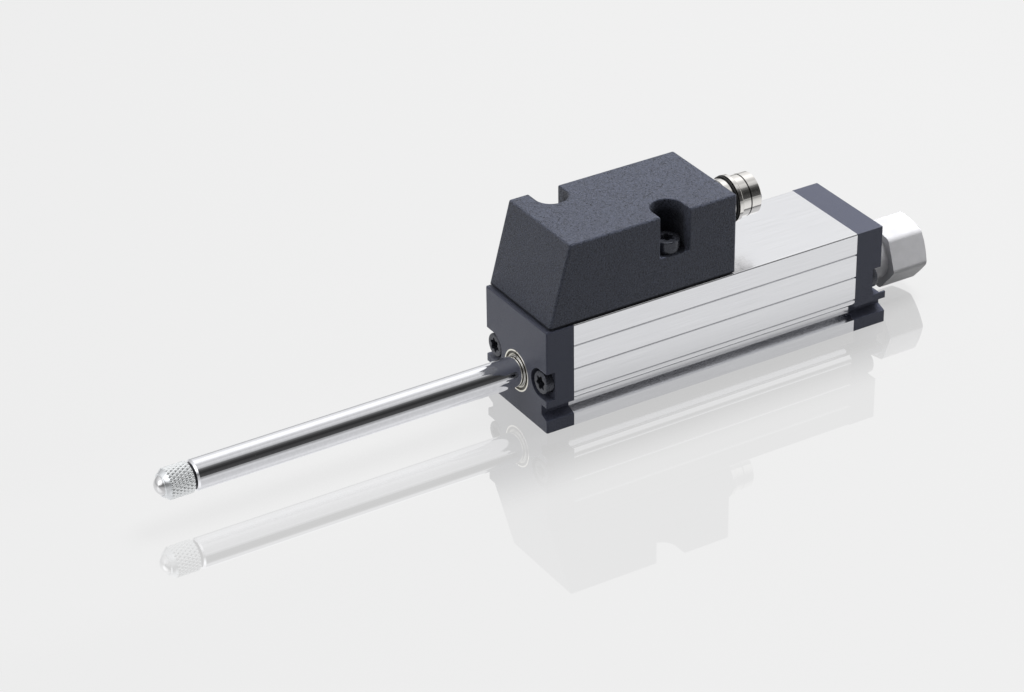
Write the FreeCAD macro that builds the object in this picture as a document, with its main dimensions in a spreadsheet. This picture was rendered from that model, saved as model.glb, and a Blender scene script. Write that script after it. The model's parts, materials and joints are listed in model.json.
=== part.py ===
import FreeCAD, Part
import math
import os
import re
import Sketcher

# Spring-return linear potentiometer, in millimetres.
# X runs along the push rod, from the ball tip (-X) to the rear plug (+X).
# Z is up. The origin is the middle of the housing's flat underside.

doc = FreeCAD.newDocument("linear_potentiometer")

# Driving sizes. A height is measured from the underside, unless the name says otherwise.
# A name that ends in _x is a distance behind the housing's front face.
SIZES = {
    # Housing section
    "body_width": 18.0,
    "body_height": 18.0,
    "profile_length": 54.0,
    "front_cap_length": 5.0,
    "rear_cap_length": 5.0,
    "rear_ledge": 1.15,
    "ledge_lip": 0.25,
    "ledge_rib": 0.3,
    "foot_height": 2.1,
    "groove_height": 2.4,
    "groove_depth": 1.65,
    "groove_slant": 0.65,
    "lip_round": 1.1,
    "edge_round": 0.25,
    "rod_height": 7.0,
    "cavity_radius": 4.6,
    "roof_wall": 2.6,
    # Lines and flutes on the profile's sides
    "first_line": 5.9,
    "line_pitch": 4.15,
    "line_width": 0.36,
    "line_depth": 0.25,
    "flute_depth": 0.18,
    "flute_margin": 0.36,
    # Screws of the end caps
    "cap_screw_side": 6.85,
    "cap_screw_height": 8.15,
    "cap_head_radius": 1.95,
    "cap_head_height": 1.4,
    "cap_recess_radius": 2.45,
    "cap_recess_depth": 1.57,
    "cap_thread_length": 6.0,
    "screw_radius": 1.25,
    "thread_core_radius": 1.05,
    "screw_hole_gap": 0.12,
    "screw_bevel": 0.25,
    "head_round": 0.25,
    "star_radius": 1.25,
    "star_waist": 0.9,
    "star_depth": 0.7,
    # Push rod and its bush
    "rod_radius": 2.5,
    "rod_reach": 56.8,
    "rod_round": 0.3,
    "rod_bore_radius": 1.7,
    "rod_web": 1.5,
    "stroke": 30.0,
    "running_gap": 0.03,
    "bush_wall": 0.97,
    "bush_mouth": 0.1,
    "bush_rim": 0.25,
    "bush_lip": 0.25,
    "bush_dish": 0.3,
    "bush_slit": 0.2,
    "hub_gap": 0.1,
    "front_hub_length": 3.0,
    "buffer_length": 1.0,
    "buffer_inset": 0.6,
    "buffer_gap": 0.3,
    "stop_play": 0.1,
    "end_play": 0.7,
    "rear_hub_clearance": 0.5,
    # Retaining rings
    "ring_thickness": 0.6,
    "ring_radius": 3.7,
    "ring_seat_depth": 0.4,
    "ring_play": 0.03,
    "ring_opening": 60.0,
    "rod_tail": 0.9,
    # Wiper carriage and contact strip
    "carriage_length": 11.9,
    "carriage_gap": 0.25,
    "carriage_top": 11.6,
    "strip_thickness": 0.2,
    "strip_length": 5.0,
    "strip_width": 6.4,
    "finger_width": 1.2,
    "finger_reach": 4.2,
    "finger_ramp": 2.9,
    "finger_crown": 0.4,
    "finger_dip": 0.6,
    "finger_gap": 0.1,
    "stake_radius": 0.5,
    "stake_height": 0.5,
    "stake_spacing": 3.2,
    # Resistance element
    "element_width": 10.8,
    "element_thickness": 1.0,
    "element_height": 13.6,
    "element_play": 0.05,
    "element_end_gap": 0.1,
    "track_spacing": 4.4,
    "track_width": 1.6,
    "track_thickness": 0.08,
    "track_margin": 3.0,
    # Return spring and its guide
    "wire_radius": 0.15,
    "coil_radius": 1.25,
    "coil_pitch": 3.6,
    "spring_play": 0.02,
    "guide_radius": 0.8,
    "guide_bevel": 0.4,
    "guide_overlap": 13.0,
    "guide_hold": 12.0,
    # Tip
    "stud_radius": 1.25,
    "stud_length": 5.4,
    "stud_extra": 0.4,
    "tip_neck_radius": 1.9,
    "tip_neck_length": 0.6,
    "sleeve_radius": 2.5,
    "sleeve_bevel": 0.25,
    "cone_start": 4.3,
    "rim_start": 4.95,
    "rim_radius": 1.95,
    "rim_bevel": 0.12,
    "ball_radius": 1.7,
    "ball_gap": 0.02,
    "ball_centre": 4.45,
    "rim_proud": 0.7,
    # Rear plug
    "plug_thread_radius": 3.6,
    "neck_radius": 4.0,
    "neck_length": 5.5,
    "neck_gap": 0.3,
    "hex_across": 10.0,
    "hex_length": 7.1,
    "hex_turn": 10.0,
    "hex_corner_round": 1.0,
    "hex_face_radius": 4.5,
    "hex_chamfer": 0.4,
    # Hood
    "hood_front_x": 0.67,
    "hood_length": 34.5,
    "hood_width": 17.84,
    "hood_height": 13.75,
    "hood_lean": 3.74,
    "hood_round": 0.4,
    "hood_wall": 1.3,
    "hood_shoulder": 0.7,
    "hood_roof": 1.75,
    "gasket_thickness": 0.3,
    "gasket_inset": 0.6,
    "pocket_radius": 2.75,
    "pocket_floor": 6.5,
    "pocket_round": 0.45,
    "pocket_edge_round": 0.2,
    "tower_wall": 1.2,
    "hood_screw_side": 6.5,
    "near_screw_x": 23.65,
    "far_screw_x": 10.65,
    "hood_head_radius": 2.1,
    "hood_head_height": 2.0,
    "hood_thread_length": 2.2,
    "hood_thread_extra": 0.3,
    # Board and wires in the hood
    "board_thickness": 1.0,
    "board_depth": 3.3,
    "board_play": 0.1,
    "board_front_gap": 1.3,
    "board_rear_gap": 0.6,
    "chip_length": 5.0,
    "chip_width": 4.0,
    "chip_height": 1.2,
    "chip_gap": 3.0,
    "part_length": 2.0,
    "part_width": 1.25,
    "part_height": 0.8,
    "part_gap": 0.2,
    "part_pitch": 2.4,
    "window_x": 14.5,
    "window_length": 6.0,
    "window_width": 6.0,
    "lead_radius": 0.35,
    "lead_pitch": 1.8,
    # Connector
    "connector_height": 7.7,
    "barrel_radius": 3.5,
    "barrel_length": 8.8,
    "barrel_bevel": 0.2,
    "barrel_line_at": 6.67,
    "barrel_line_width": 0.2,
    "barrel_line_depth": 0.2,
    "base_radius": 3.6,
    "seal_at": 3.65,
    "seal_wire": 0.3,
    "seal_inset": 0.06,
    "collar_radius": 3.96,
    "collar_length": 0.75,
    "collar_bevel": 0.15,
    "shank_radius": 3.0,
    "shank_length": 4.4,
    "shank_gap": 0.05,
    "insert_radius": 2.4,
    "insert_front": 3.6,
    "socket_radius": 2.85,
    "pin_radius": 0.4,
    "pin_bevel": 0.2,
    "pin_spread": 0.95,
    "pin_front": 7.7,
    "pin_back": 1.2,
    "nut_across": 8.0,
    "nut_length": 2.0,
    "bend_radius": 0.9,
    "bend_step": 1.4,
}

# Places and sizes that follow from the driving sizes.
LAYOUT = {
    "half_width": "body_width / 2",
    "front_x": "-(front_cap_length + profile_length + rear_cap_length) / 2",
    "groove_top": "foot_height + groove_height",
    "groove_floor": "half_width - groove_depth",
    "cavity_top": "body_height - roof_wall",
    "screw_hole_radius": "screw_radius + screw_hole_gap",
    "cap_shank_length": "front_cap_length - cap_recess_depth + cap_thread_length",
    "rear_shank_length": "rear_cap_length - cap_recess_depth + cap_thread_length",
    "ledge_height": "cap_screw_height - cap_recess_radius",
    "hub_radius": "cavity_radius - hub_gap",
    "bush_radius": "rod_radius + running_gap + bush_wall",
    "bush_length": "front_cap_length + front_hub_length",
    "buffer_radius": "hub_radius - buffer_inset",
    "front_ring_x": "bush_length + buffer_length + stop_play",
    "carriage_x": "front_ring_x + ring_thickness + ring_play",
    "rear_ring_x": "carriage_x + carriage_length + ring_play",
    "rod_end_x": "rear_ring_x + ring_thickness + rod_tail",
    "rod_length": "rod_reach + rod_end_x",
    "stud_hole_depth": "stud_length + stud_extra",
    "spring_front_x": "stud_hole_depth + rod_web - rod_reach",
    "rear_face_x": "front_cap_length + profile_length",
    "end_x": "rear_face_x + rear_cap_length",
    "rear_hub_x": "rear_ring_x + ring_thickness + stroke + end_play",
    "rear_hub_length": "rear_face_x - rear_hub_x",
    "rear_hub_bore": "rod_radius + rear_hub_clearance",
    "ring_seat_radius": "rod_radius - ring_seat_depth",
    "ring_seat_width": "ring_thickness + 2 * ring_play",
    "carriage_radius": "cavity_radius - carriage_gap",
    "element_length": "profile_length - 2 * element_end_gap",
    "slot_half": "element_width / 2 + element_play",
    "slot_height": "element_thickness + element_play",
    "track_face": "element_height - track_thickness",
    "spring_length": "rear_face_x - spring_front_x - 2 * spring_play",
    "guide_front_x": "rod_end_x - guide_overlap",
    "guide_length": "rear_face_x + guide_hold - guide_front_x",
    "hex_corner_radius": "hex_across / (2 * cos(30))",
    "hood_z": "body_height + gasket_thickness",
    "hood_half": "hood_width / 2",
    "hood_slope": "hood_lean / hood_height",
    "hood_ceiling": "hood_height - hood_roof",
    "upper_wall": "hood_wall + hood_shoulder",
    "tower_radius": "pocket_radius + tower_wall",
    "tower_end": "hood_half - hood_wall / 2",
    "near_x": "near_screw_x - hood_front_x",
    "far_x": "far_screw_x - hood_front_x",
    "hood_shank_length": "pocket_floor + gasket_thickness + hood_thread_length",
    "hood_hole_depth": "hood_thread_length + hood_thread_extra",
    "hood_rear_x": "hood_front_x + hood_length",
    "lead_x": "window_x + window_length / 2",
    "connector_z": "hood_z + connector_height",
    "board_top_z": "hood_z + board_depth",
    "board_z": "board_top_z - board_thickness",
    "board_half": "hood_half - hood_wall - board_play",
    "hollow_front": "hood_wall + hood_slope * board_depth",
    "hollow_rear": "hood_length - hood_wall",
    "board_start_x": "hood_front_x + hollow_front + board_front_gap",
    "board_end_x": "hood_rear_x - hood_wall - board_rear_gap",
    "seal_groove_radius": "collar_radius - seal_inset - 2 * seal_wire",
    "seal_end": "seal_at + 2 * seal_wire",
    "pin_end": "shank_length + pin_back",
    "front_lead_x": "hood_rear_x - pin_end - 2 * bend_step",
    "part_x": "front_lead_x - lead_radius - part_gap - part_length",
    "chip_x": "part_x - chip_gap - chip_length",
}

SIDES = (1, -1)
LINE_COUNT = 3
STAR_POINTS = 6
HEX_SIDES = 6
SMALL_PARTS = 2
SLACK = 1e-4
KNOWN = {}


def full(formula):
    """A formula with each plain name replaced by its cell in the sheets."""
    return re.sub(r"[a-z_]+", lambda found: KNOWN.get(found.group(0), found.group(0)), formula)


def fill_sheet(name, cells, prefix):
    sheet = doc.addObject("Spreadsheet::Sheet", name)
    for row, (alias, content) in enumerate(cells.items(), 1):
        KNOWN[alias] = f"{name}.{alias}"
        text = prefix + full(content) if prefix else str(content)
        sheet.set(f"A{row}", alias)
        sheet.set(f"B{row}", text.replace(f"{name}.", ""))
        sheet.setAlias(f"B{row}", alias)
    doc.recompute()
    return sheet


sizes = fill_sheet("Sizes", SIZES, "")
layout = fill_sheet("Layout", LAYOUT, "=")


def number(formula):
    found = sizes.evalExpression(full(str(formula)))
    return float(getattr(found, "Value", found))


def bind(item, path, formula):
    item.setExpression(path, full(str(formula)))


def place(item, x="0", y="0", z="0"):
    """Sets where an object stands, with its X measured from the housing's front face."""
    bind(item, "Placement.Base.x", f"front_x + {x}")
    bind(item, "Placement.Base.y", y)
    bind(item, "Placement.Base.z", z)


def new_body(label):
    body = doc.addObject("PartDesign::Body", label)
    body.Label = label
    return body


def new_sketch(body, name, plane, offset="0"):
    sketch = body.newObject("Sketcher::SketchObject", name)
    support = next(item for item in body.Origin.OriginFeatures if item.Role == plane)
    sketch.AttachmentSupport = [(support, "")]
    sketch.MapMode = "FlatFace"
    bind(sketch, "AttachmentOffset.Base.z", offset)
    return sketch


def hold(sketch, kind, where, formula):
    """One constraint of a sketch, bound to its formula."""
    index = sketch.addConstraint(Sketcher.Constraint(kind, *where, number(formula)))
    bind(sketch, f"Constraints[{index}]", formula)


def hold_point(sketch, item, point, x, y):
    hold(sketch, "DistanceX", (-1, 1, item, point), x)
    hold(sketch, "DistanceY", (-1, 1, item, point), y)


def circle(sketch, x, y, radius):
    centre = FreeCAD.Vector(number(x), number(y), 0)
    item = sketch.addGeometry(Part.Circle(centre, FreeCAD.Vector(0, 0, 1), number(radius)), False)
    hold_point(sketch, item, 3, x, y)
    hold(sketch, "Radius", (item,), radius)


def arc_centre(start, end, how, value, turn):
    """The centre of an arc between two points, from its radius or one coordinate of the centre."""
    middle = (start + end) * 0.5
    along = end - start
    normal = FreeCAD.Vector(-along.y, along.x, 0).normalize()
    if how == "radius":
        rise = math.sqrt(max(value**2 - (along.Length / 2) ** 2, 0))
        return middle + normal * rise * turn
    if how == "centre_x":
        return middle + normal * ((value - middle.x) / normal.x)
    return middle + normal * ((value - middle.y) / normal.y)


def outline(sketch, points):
    """A closed outline. A point is (x, y), and an arc that starts there adds how, formula, turn.

    turn is 1 for an arc that runs anticlockwise and -1 for one that runs clockwise.
    """
    first = None
    last = None
    corners = [FreeCAD.Vector(number(point[0]), number(point[1]), 0) for point in points]
    for index, point in enumerate(points):
        start = corners[index]
        end = corners[(index + 1) % len(points)]
        if len(point) == 2:
            item = sketch.addGeometry(Part.LineSegment(start, end), False)
            begins, ends = 1, 2
        else:
            how, formula, turn = point[2:]
            centre = arc_centre(start, end, how, number(formula), turn)
            low, high = (start, end) if turn > 0 else (end, start)
            angles = [math.atan2(corner.y - centre.y, corner.x - centre.x) for corner in (low, high)]
            whole = Part.Circle(centre, FreeCAD.Vector(0, 0, 1), (start - centre).Length)
            item = sketch.addGeometry(Part.ArcOfCircle(whole, *angles), False)
            begins, ends = (1, 2) if turn > 0 else (2, 1)
            if how == "radius":
                hold(sketch, "Radius", (item,), formula)
            else:
                kind = "DistanceX" if how == "centre_x" else "DistanceY"
                hold(sketch, kind, (-1, 1, item, 3), formula)
        hold_point(sketch, item, begins, point[0], point[1])
        if last is not None:
            sketch.addConstraint(Sketcher.Constraint("Coincident", *last, item, begins))
        else:
            first = (item, begins)
        last = (item, ends)
    sketch.addConstraint(Sketcher.Constraint("Coincident", *last, *first))


def rectangle(sketch, x_low, y_low, x_high, y_high):
    outline(sketch, [(x_low, y_low), (x_high, y_low), (x_high, y_high), (x_low, y_high)])


def finish_feature(body, feature, grows):
    """Recomputes a feature and makes sure that it added or removed material."""
    before = body.Shape.Volume if not body.Shape.isNull() else 0.0
    doc.recompute()
    if feature.Shape.isNull() or not feature.isValid():
        raise RuntimeError(f"{body.Label} {feature.Name} made no shape")
    change = feature.Shape.Volume - before
    if (change > 0) != grows or change == 0:
        raise RuntimeError(f"{body.Label} {feature.Name} changed the volume by {change}")
    return feature


def pad(body, sketch, name, length, reverse=False, symmetric=False):
    feature = body.newObject("PartDesign::Pad", name)
    feature.Profile = sketch
    feature.SideType = "Symmetric" if symmetric else "One side"
    feature.Reversed = reverse
    bind(feature, "Length", length)
    return finish_feature(body, feature, True)


def pocket(body, sketch, name, depth, reverse=False, symmetric=False):
    """Cuts a sketch into a body. With no reverse, the cut runs against the sketch's normal."""
    feature = body.newObject("PartDesign::Pocket", name)
    feature.Profile = sketch
    feature.SideType = "Symmetric" if symmetric else "One side"
    feature.Reversed = reverse
    bind(feature, "Length", depth)
    return finish_feature(body, feature, False)


def turned(body, sketch, name, angle="360"):
    """Turns a sketch on the XZ plane about the body's X axis."""
    feature = body.newObject("PartDesign::Revolution", name)
    feature.Profile = sketch
    feature.ReferenceAxis = (sketch, ["H_Axis"])
    bind(feature, "Angle", angle)
    return finish_feature(body, feature, True)


def turned_cut(body, sketch, name):
    """Cuts a sketch on the XZ plane out of a body all round its X axis."""
    feature = body.newObject("PartDesign::Groove", name)
    feature.Profile = sketch
    feature.ReferenceAxis = (sketch, ["H_Axis"])
    return finish_feature(body, feature, False)


def round_edges(body, name, radius, choose, grows=False):
    """Rounds the edges of the last feature that choose accepts, by their middle and direction.

    grows is True where the edges are inner corners, which a rounding fills.
    """
    base = body.Tip
    chosen = []
    for index, edge in enumerate(base.Shape.Edges, 1):
        if edge.Degenerated:
            continue
        middle = edge.valueAt((edge.FirstParameter + edge.LastParameter) / 2)
        along = edge.tangentAt((edge.FirstParameter + edge.LastParameter) / 2)
        if choose(middle, along):
            chosen.append(f"Edge{index}")
    feature = body.newObject("PartDesign::Fillet", name)
    feature.Base = (base, chosen)
    bind(feature, "Radius", radius)
    return finish_feature(body, feature, grows)


def lies_at(value, formula):
    return abs(value - number(formula)) < SLACK


def turned_body(label, points, x="0", y="0", z="rod_height"):
    """A turned piece. Its outline is a list of (x, radius)."""
    body = new_body(label)
    sketch = new_sketch(body, f"{label}_half_section", "XZ_Plane")
    outline(sketch, points)
    turned(body, sketch, f"{label}_turned")
    place(body, x, y, z)
    return body


def group(label, members):
    """Several separate like solids that are kept as one sub-part."""
    compound = doc.addObject("Part::Compound", label)
    compound.Label = label
    compound.Links = members
    doc.recompute()
    return compound


def section_points(top="body_height"):
    """The housing's outer section, with a clamp groove along each side."""
    right = [
        ("half_width", "0"),
        ("half_width", "foot_height"),
        ("groove_floor", "foot_height + groove_slant"),
        ("groove_floor", "groove_top"),
        ("half_width", "groove_top"),
        ("half_width", top),
    ]
    left = [(f"-({y})", z) for y, z in reversed(right)]
    return right + left


def slot_points(x, side, radius, end):
    """A slot round a hood screw, with a round inner end, open towards the side that is given."""
    low, high = f"{x} - {radius}", f"{x} + {radius}"
    centre = f"{side} * hood_screw_side"
    return [
        (low, f"{side} * ({end})"),
        (low, centre, "centre_y", centre, side),
        (high, centre),
        (high, f"{side} * ({end})"),
    ]


def star_points():
    """The outline of a six-lobed screw socket."""
    points = []
    for index in range(2 * STAR_POINTS):
        radius = "star_radius" if index % 2 == 0 else "star_waist"
        angle = index * 180 / STAR_POINTS
        points.append((f"{radius} * cos({angle})", f"{radius} * sin({angle})"))
    return points


def hexagon_points(across, turn="0"):
    """A hexagon of a given width across its flats, with its first corner turned from the Y axis."""
    radius = f"{across} / (2 * cos({180 / HEX_SIDES}))"
    angles = [f"({turn} + {360 * index / HEX_SIDES})" for index in range(HEX_SIDES)]
    return [(f"{radius} * cos({angle})", f"{radius} * sin({angle})") for angle in angles]


# Extruded housing


def side_flute(sketch, side, low, high):
    """A shallow flute on the profile's side, between two heights."""
    half = f"(({high}) - ({low})) / 2"
    radius = f"(({half})^2 + flute_depth^2) / (2 * flute_depth)"
    face = f"{side} * half_width"
    outline(sketch, [(face, low, "radius", radius, side), (face, high)])


def make_housing_profile():
    body = new_body("housing_profile")
    section = new_sketch(body, "profile_section", "YZ_Plane")
    outline(section, section_points())
    pad(body, section, "extrusion", "profile_length")
    round_edges(
        body, "lip_rounding", "lip_round",
        lambda middle, along: lies_at(abs(middle.y), "half_width") and lies_at(middle.z, "groove_top"),
    )
    round_edges(
        body, "top_edge_rounding", "edge_round",
        lambda middle, along: lies_at(abs(middle.y), "half_width") and lies_at(middle.z, "body_height"),
    )

    cavity = new_sketch(body, "cavity_section", "YZ_Plane")
    outline(cavity, [
        ("cavity_radius", "cavity_top"),
        ("-cavity_radius", "cavity_top"),
        ("-cavity_radius", "rod_height", "centre_y", "rod_height", 1),
        ("cavity_radius", "rod_height"),
    ])
    pocket(body, cavity, "cavity", "profile_length", reverse=True)

    slots = new_sketch(body, "element_slot_section", "YZ_Plane")
    rectangle(slots, "-slot_half", "element_height", "slot_half", "element_height + slot_height")
    pocket(body, slots, "element_slots", "profile_length", reverse=True)

    channels = new_sketch(body, "screw_channel_section", "YZ_Plane")
    lines = new_sketch(body, "side_line_section", "YZ_Plane")
    flutes = new_sketch(body, "flute_section", "YZ_Plane")
    for side in SIDES:
        circle(channels, f"{side} * cap_screw_side", "cap_screw_height", "thread_core_radius")
        for index in range(LINE_COUNT):
            height = f"first_line + {index} * line_pitch"
            above = f"first_line + {index + 1} * line_pitch" if index + 1 < LINE_COUNT else "body_height"
            outline(lines, [
                (f"{side} * half_width", f"{height} - line_width / 2"),
                (f"{side} * (half_width - line_depth)", height),
                (f"{side} * half_width", f"{height} + line_width / 2"),
            ])
            side_flute(flutes, side, f"{height} + flute_margin", f"{above} - flute_margin")
    pocket(body, channels, "screw_channels", "profile_length", reverse=True)
    pocket(body, lines, "side_lines", "profile_length", reverse=True)
    pocket(body, flutes, "side_flutes", "profile_length", reverse=True)

    window = new_sketch(body, "lead_window_outline", "XY_Plane", "body_height")
    start = "window_x - front_cap_length"
    rectangle(window, start, "-window_width / 2", f"{start} + window_length", "window_width / 2")
    pocket(body, window, "lead_window", "roof_wall")

    holes = new_sketch(body, "hood_thread_outline", "XY_Plane", "body_height")
    circle(holes, "far_screw_x - front_cap_length", "hood_screw_side", "thread_core_radius")
    circle(holes, "near_screw_x - front_cap_length", "-hood_screw_side", "thread_core_radius")
    pocket(body, holes, "hood_threads", "hood_hole_depth")
    place(body, "front_cap_length")
    return body


# End caps and their screws


def cap_block(body, name, length):
    section = new_sketch(body, f"{name}_section", "YZ_Plane")
    outline(section, section_points())
    pad(body, section, f"{name}_block", length)


def screw_seats(body, name, offset, length, inwards):
    """Two open-sided recesses for screw heads, and the clearance holes behind them."""
    recesses = new_sketch(body, f"{name}_recess_outline", "YZ_Plane", offset)
    holes = new_sketch(body, f"{name}_hole_outline", "YZ_Plane", offset)
    low, high = "cap_screw_height - cap_recess_radius", "cap_screw_height + cap_recess_radius"
    for side in SIDES:
        centre = f"{side} * cap_screw_side"
        outline(recesses, [
            (f"{side} * half_width", low),
            (f"{side} * half_width", high),
            (centre, high, "centre_x", centre, side),
            (centre, low),
        ])
        circle(holes, centre, "cap_screw_height", "screw_hole_radius")
    pocket(body, recesses, f"{name}_recesses", "cap_recess_depth", reverse=inwards)
    pocket(body, holes, f"{name}_holes", length, reverse=inwards)


def make_front_end_cap():
    body = new_body("front_end_cap")
    cap_block(body, "cap", "front_cap_length")
    round_edges(
        body, "edge_rounding", "edge_round",
        lambda middle, along: (lies_at(middle.x, "0") and lies_at(abs(middle.y), "half_width"))
        or (lies_at(middle.z, "body_height") and not lies_at(middle.x, "front_cap_length")),
    )
    hub = new_sketch(body, "hub_outline", "YZ_Plane", "front_cap_length")
    circle(hub, "0", "rod_height", "hub_radius")
    pad(body, hub, "hub", "front_hub_length")
    seat = new_sketch(body, "bush_seat_outline", "YZ_Plane")
    circle(seat, "0", "rod_height", "bush_radius")
    pocket(body, seat, "bush_seat", "bush_length", reverse=True)
    screw_seats(body, "front", "0", "front_cap_length", True)
    place(body)
    return body


def make_rear_end_cap():
    """The rear cap. Its ledge is a low shelf over the clamp grooves, with a thin rib at each side."""
    body = new_body("rear_end_cap")
    cap_block(body, "cap", "rear_cap_length")
    ledge = new_sketch(body, "ledge_section", "YZ_Plane", "rear_cap_length")
    outline(ledge, section_points("ledge_height"))
    pad(body, ledge, "ledge", "rear_ledge")
    shelf = new_sketch(body, "shelf_outline", "YZ_Plane", "rear_cap_length")
    edge = "half_width - ledge_rib"
    rectangle(shelf, f"-({edge})", "groove_top + ledge_lip", edge, "ledge_height")
    pocket(body, shelf, "shelf", "rear_ledge", reverse=True)
    hub = new_sketch(body, "hub_outline", "YZ_Plane")
    circle(hub, "0", "rod_height", "hub_radius")
    pad(body, hub, "hub", "rear_hub_length", reverse=True)
    relief = new_sketch(body, "neck_relief_outline", "YZ_Plane", "rear_cap_length")
    circle(relief, "0", "rod_height", "neck_radius + neck_gap")
    pocket(body, relief, "neck_relief", "rear_ledge", reverse=True)
    thread = new_sketch(body, "plug_thread_outline", "YZ_Plane")
    circle(thread, "0", "rod_height", "plug_thread_radius")
    pocket(body, thread, "plug_thread", "rear_cap_length", reverse=True)
    bore = new_sketch(body, "hub_bore_outline", "YZ_Plane")
    circle(bore, "0", "rod_height", "rear_hub_bore")
    pocket(body, bore, "hub_bore", "rear_hub_length")
    screw_seats(body, "rear", "rear_cap_length", "rear_cap_length", False)
    place(body, "rear_face_x")
    return body


def make_screw(label, head_radius, head_height, shank_length, thread_length):
    """A screw along +X from the underside of its head, with a six-lobed socket in the head."""
    body = new_body(label)
    half = new_sketch(body, f"{label}_half_section", "XZ_Plane")
    outline(half, [
        (f"-{head_height}", "0"),
        (f"-{head_height}", f"{head_radius} - head_round"),
        (f"head_round - {head_height}", head_radius),
        ("0", head_radius),
        ("0", "screw_radius"),
        (f"{shank_length} - {thread_length}", "screw_radius"),
        (f"{shank_length} - {thread_length}", "thread_core_radius"),
        (f"{shank_length} - screw_bevel", "thread_core_radius"),
        (shank_length, "thread_core_radius - screw_bevel"),
        (shank_length, "0"),
    ])
    turned(body, half, f"{label}_turned")
    star = new_sketch(body, f"{label}_socket_outline", "YZ_Plane", f"-{head_height}")
    outline(star, star_points())
    pocket(body, star, f"{label}_socket", "star_depth", reverse=True)
    return body


def make_cap_screws(label, shank_length, head_x, direction):
    members = []
    for number_of, side in enumerate(SIDES, 1):
        screw = make_screw(
            f"{label}_{number_of}", "cap_head_radius", "cap_head_height", shank_length, "cap_thread_length",
        )
        place(screw, head_x, f"{side} * cap_screw_side", "cap_screw_height")
        screw.Placement.Rotation = FreeCAD.Rotation(FreeCAD.Vector(0, 0, 1), 0 if direction > 0 else 180)
        members.append(screw)
    return group(label, members)


# Push rod and tip


def make_rod_bush():
    """The bush. Its face is turned down between the rim and a lip round the rod."""
    inner, outer = "rod_radius + running_gap", "bush_radius"
    body = turned_body("rod_bush", [
        ("bush_mouth", inner),
        ("0", f"{inner} + bush_mouth"),
        ("0", f"{inner} + bush_lip"),
        ("bush_dish", f"{inner} + bush_lip"),
        ("bush_dish", f"{outer} - bush_rim"),
        ("0", f"{outer} - bush_rim"),
        ("0", outer),
        ("bush_length", outer),
        ("bush_length", inner),
    ])
    slit = new_sketch(body, "slit_section", "YZ_Plane")
    rectangle(slit, "-bush_slit / 2", "0", "bush_slit / 2", "bush_radius + bush_slit")
    pocket(body, slit, "slit", "bush_length", reverse=True)
    return body


def make_front_buffer():
    return turned_body("front_buffer", [
        ("0", "rod_radius + buffer_gap"),
        ("0", "buffer_radius"),
        ("buffer_length", "buffer_radius"),
        ("buffer_length", "rod_radius + buffer_gap"),
    ], "bush_length")


def make_push_rod():
    """The rod, hollow from the rear for the spring, with a threaded hole in front for the tip."""
    points = [
        ("0", "stud_radius"),
        ("0", "rod_radius - rod_round"),
        ("rod_round", "rod_radius"),
    ]
    for ring_x in ("front_ring_x", "rear_ring_x"):
        start = f"rod_reach + {ring_x} - ring_play"
        points.append((start, "rod_radius"))
        points.append((start, "ring_seat_radius"))
        points.append((f"{start} + ring_seat_width", "ring_seat_radius"))
        points.append((f"{start} + ring_seat_width", "rod_radius"))
    points.append(("rod_length - rod_round", "rod_radius"))
    points.append(("rod_length", "rod_radius - rod_round"))
    points.append(("rod_length", "rod_bore_radius"))
    points.append(("stud_hole_depth + rod_web", "rod_bore_radius"))
    points.append(("stud_hole_depth + rod_web", "0"))
    points.append(("stud_hole_depth", "0"))
    points.append(("stud_hole_depth", "stud_radius"))
    return turned_body("push_rod", points, "-rod_reach")


def make_rod_rings():
    """Two open retaining rings that sit in the rod's grooves."""
    members = []
    for number_of, ring_x in enumerate(("front_ring_x", "rear_ring_x"), 1):
        label = f"rod_rings_{number_of}"
        ring = new_body(label)
        half = new_sketch(ring, f"{label}_half_section", "XZ_Plane")
        rectangle(half, "0", "ring_seat_radius", "ring_thickness", "ring_radius")
        turned(ring, half, f"{label}_turned", "360 - ring_opening")
        place(ring, ring_x, "0", "rod_height")
        members.append(ring)
    return group("rod_rings", members)


def make_tip_sleeve():
    """The knurled tip with its stud. Its front end holds the ball under a rolled rim."""
    socket = "(ball_radius + ball_gap)"
    face = "-(ball_centre + rim_proud)"
    mouth = f"sqrt({socket}^2 - rim_proud^2)"
    return turned_body("tip_sleeve", [
        ("stud_length", "0"),
        (f"{socket} - ball_centre", "0", "centre_y", "0", 1),
        (face, mouth),
        (face, "rim_radius - rim_bevel"),
        ("-rim_start", "rim_radius"),
        ("-cone_start", "sleeve_radius"),
        ("-(tip_neck_length + sleeve_bevel)", "sleeve_radius"),
        ("-tip_neck_length", "sleeve_radius - sleeve_bevel"),
        ("-tip_neck_length", "tip_neck_radius"),
        ("0", "tip_neck_radius"),
        ("0", "stud_radius"),
        ("stud_length - sleeve_bevel", "stud_radius"),
        ("stud_length", "stud_radius - sleeve_bevel"),
    ], "-rod_reach")


def make_tip_ball():
    ball = doc.addObject("Part::Sphere", "tip_ball")
    ball.Label = "tip_ball"
    bind(ball, "Radius", "ball_radius")
    place(ball, "-(rod_reach + ball_centre)", "0", "rod_height")
    doc.recompute()
    return ball


# Return spring, guide and rear plug


def make_return_spring():
    body = new_body("return_spring")
    wire = new_sketch(body, "wire_section", "XZ_Plane")
    circle(wire, "wire_radius", "coil_radius", "wire_radius")
    coil = body.newObject("PartDesign::AdditiveHelix", "coil")
    coil.Profile = wire
    coil.ReferenceAxis = (wire, ["H_Axis"])
    coil.Mode = "pitch-height-angle"
    bind(coil, "Pitch", "coil_pitch")
    bind(coil, "Height", "spring_length - 2 * wire_radius")
    finish_feature(body, coil, True)
    place(body, "spring_front_x + spring_play", "0", "rod_height")
    return body


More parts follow.
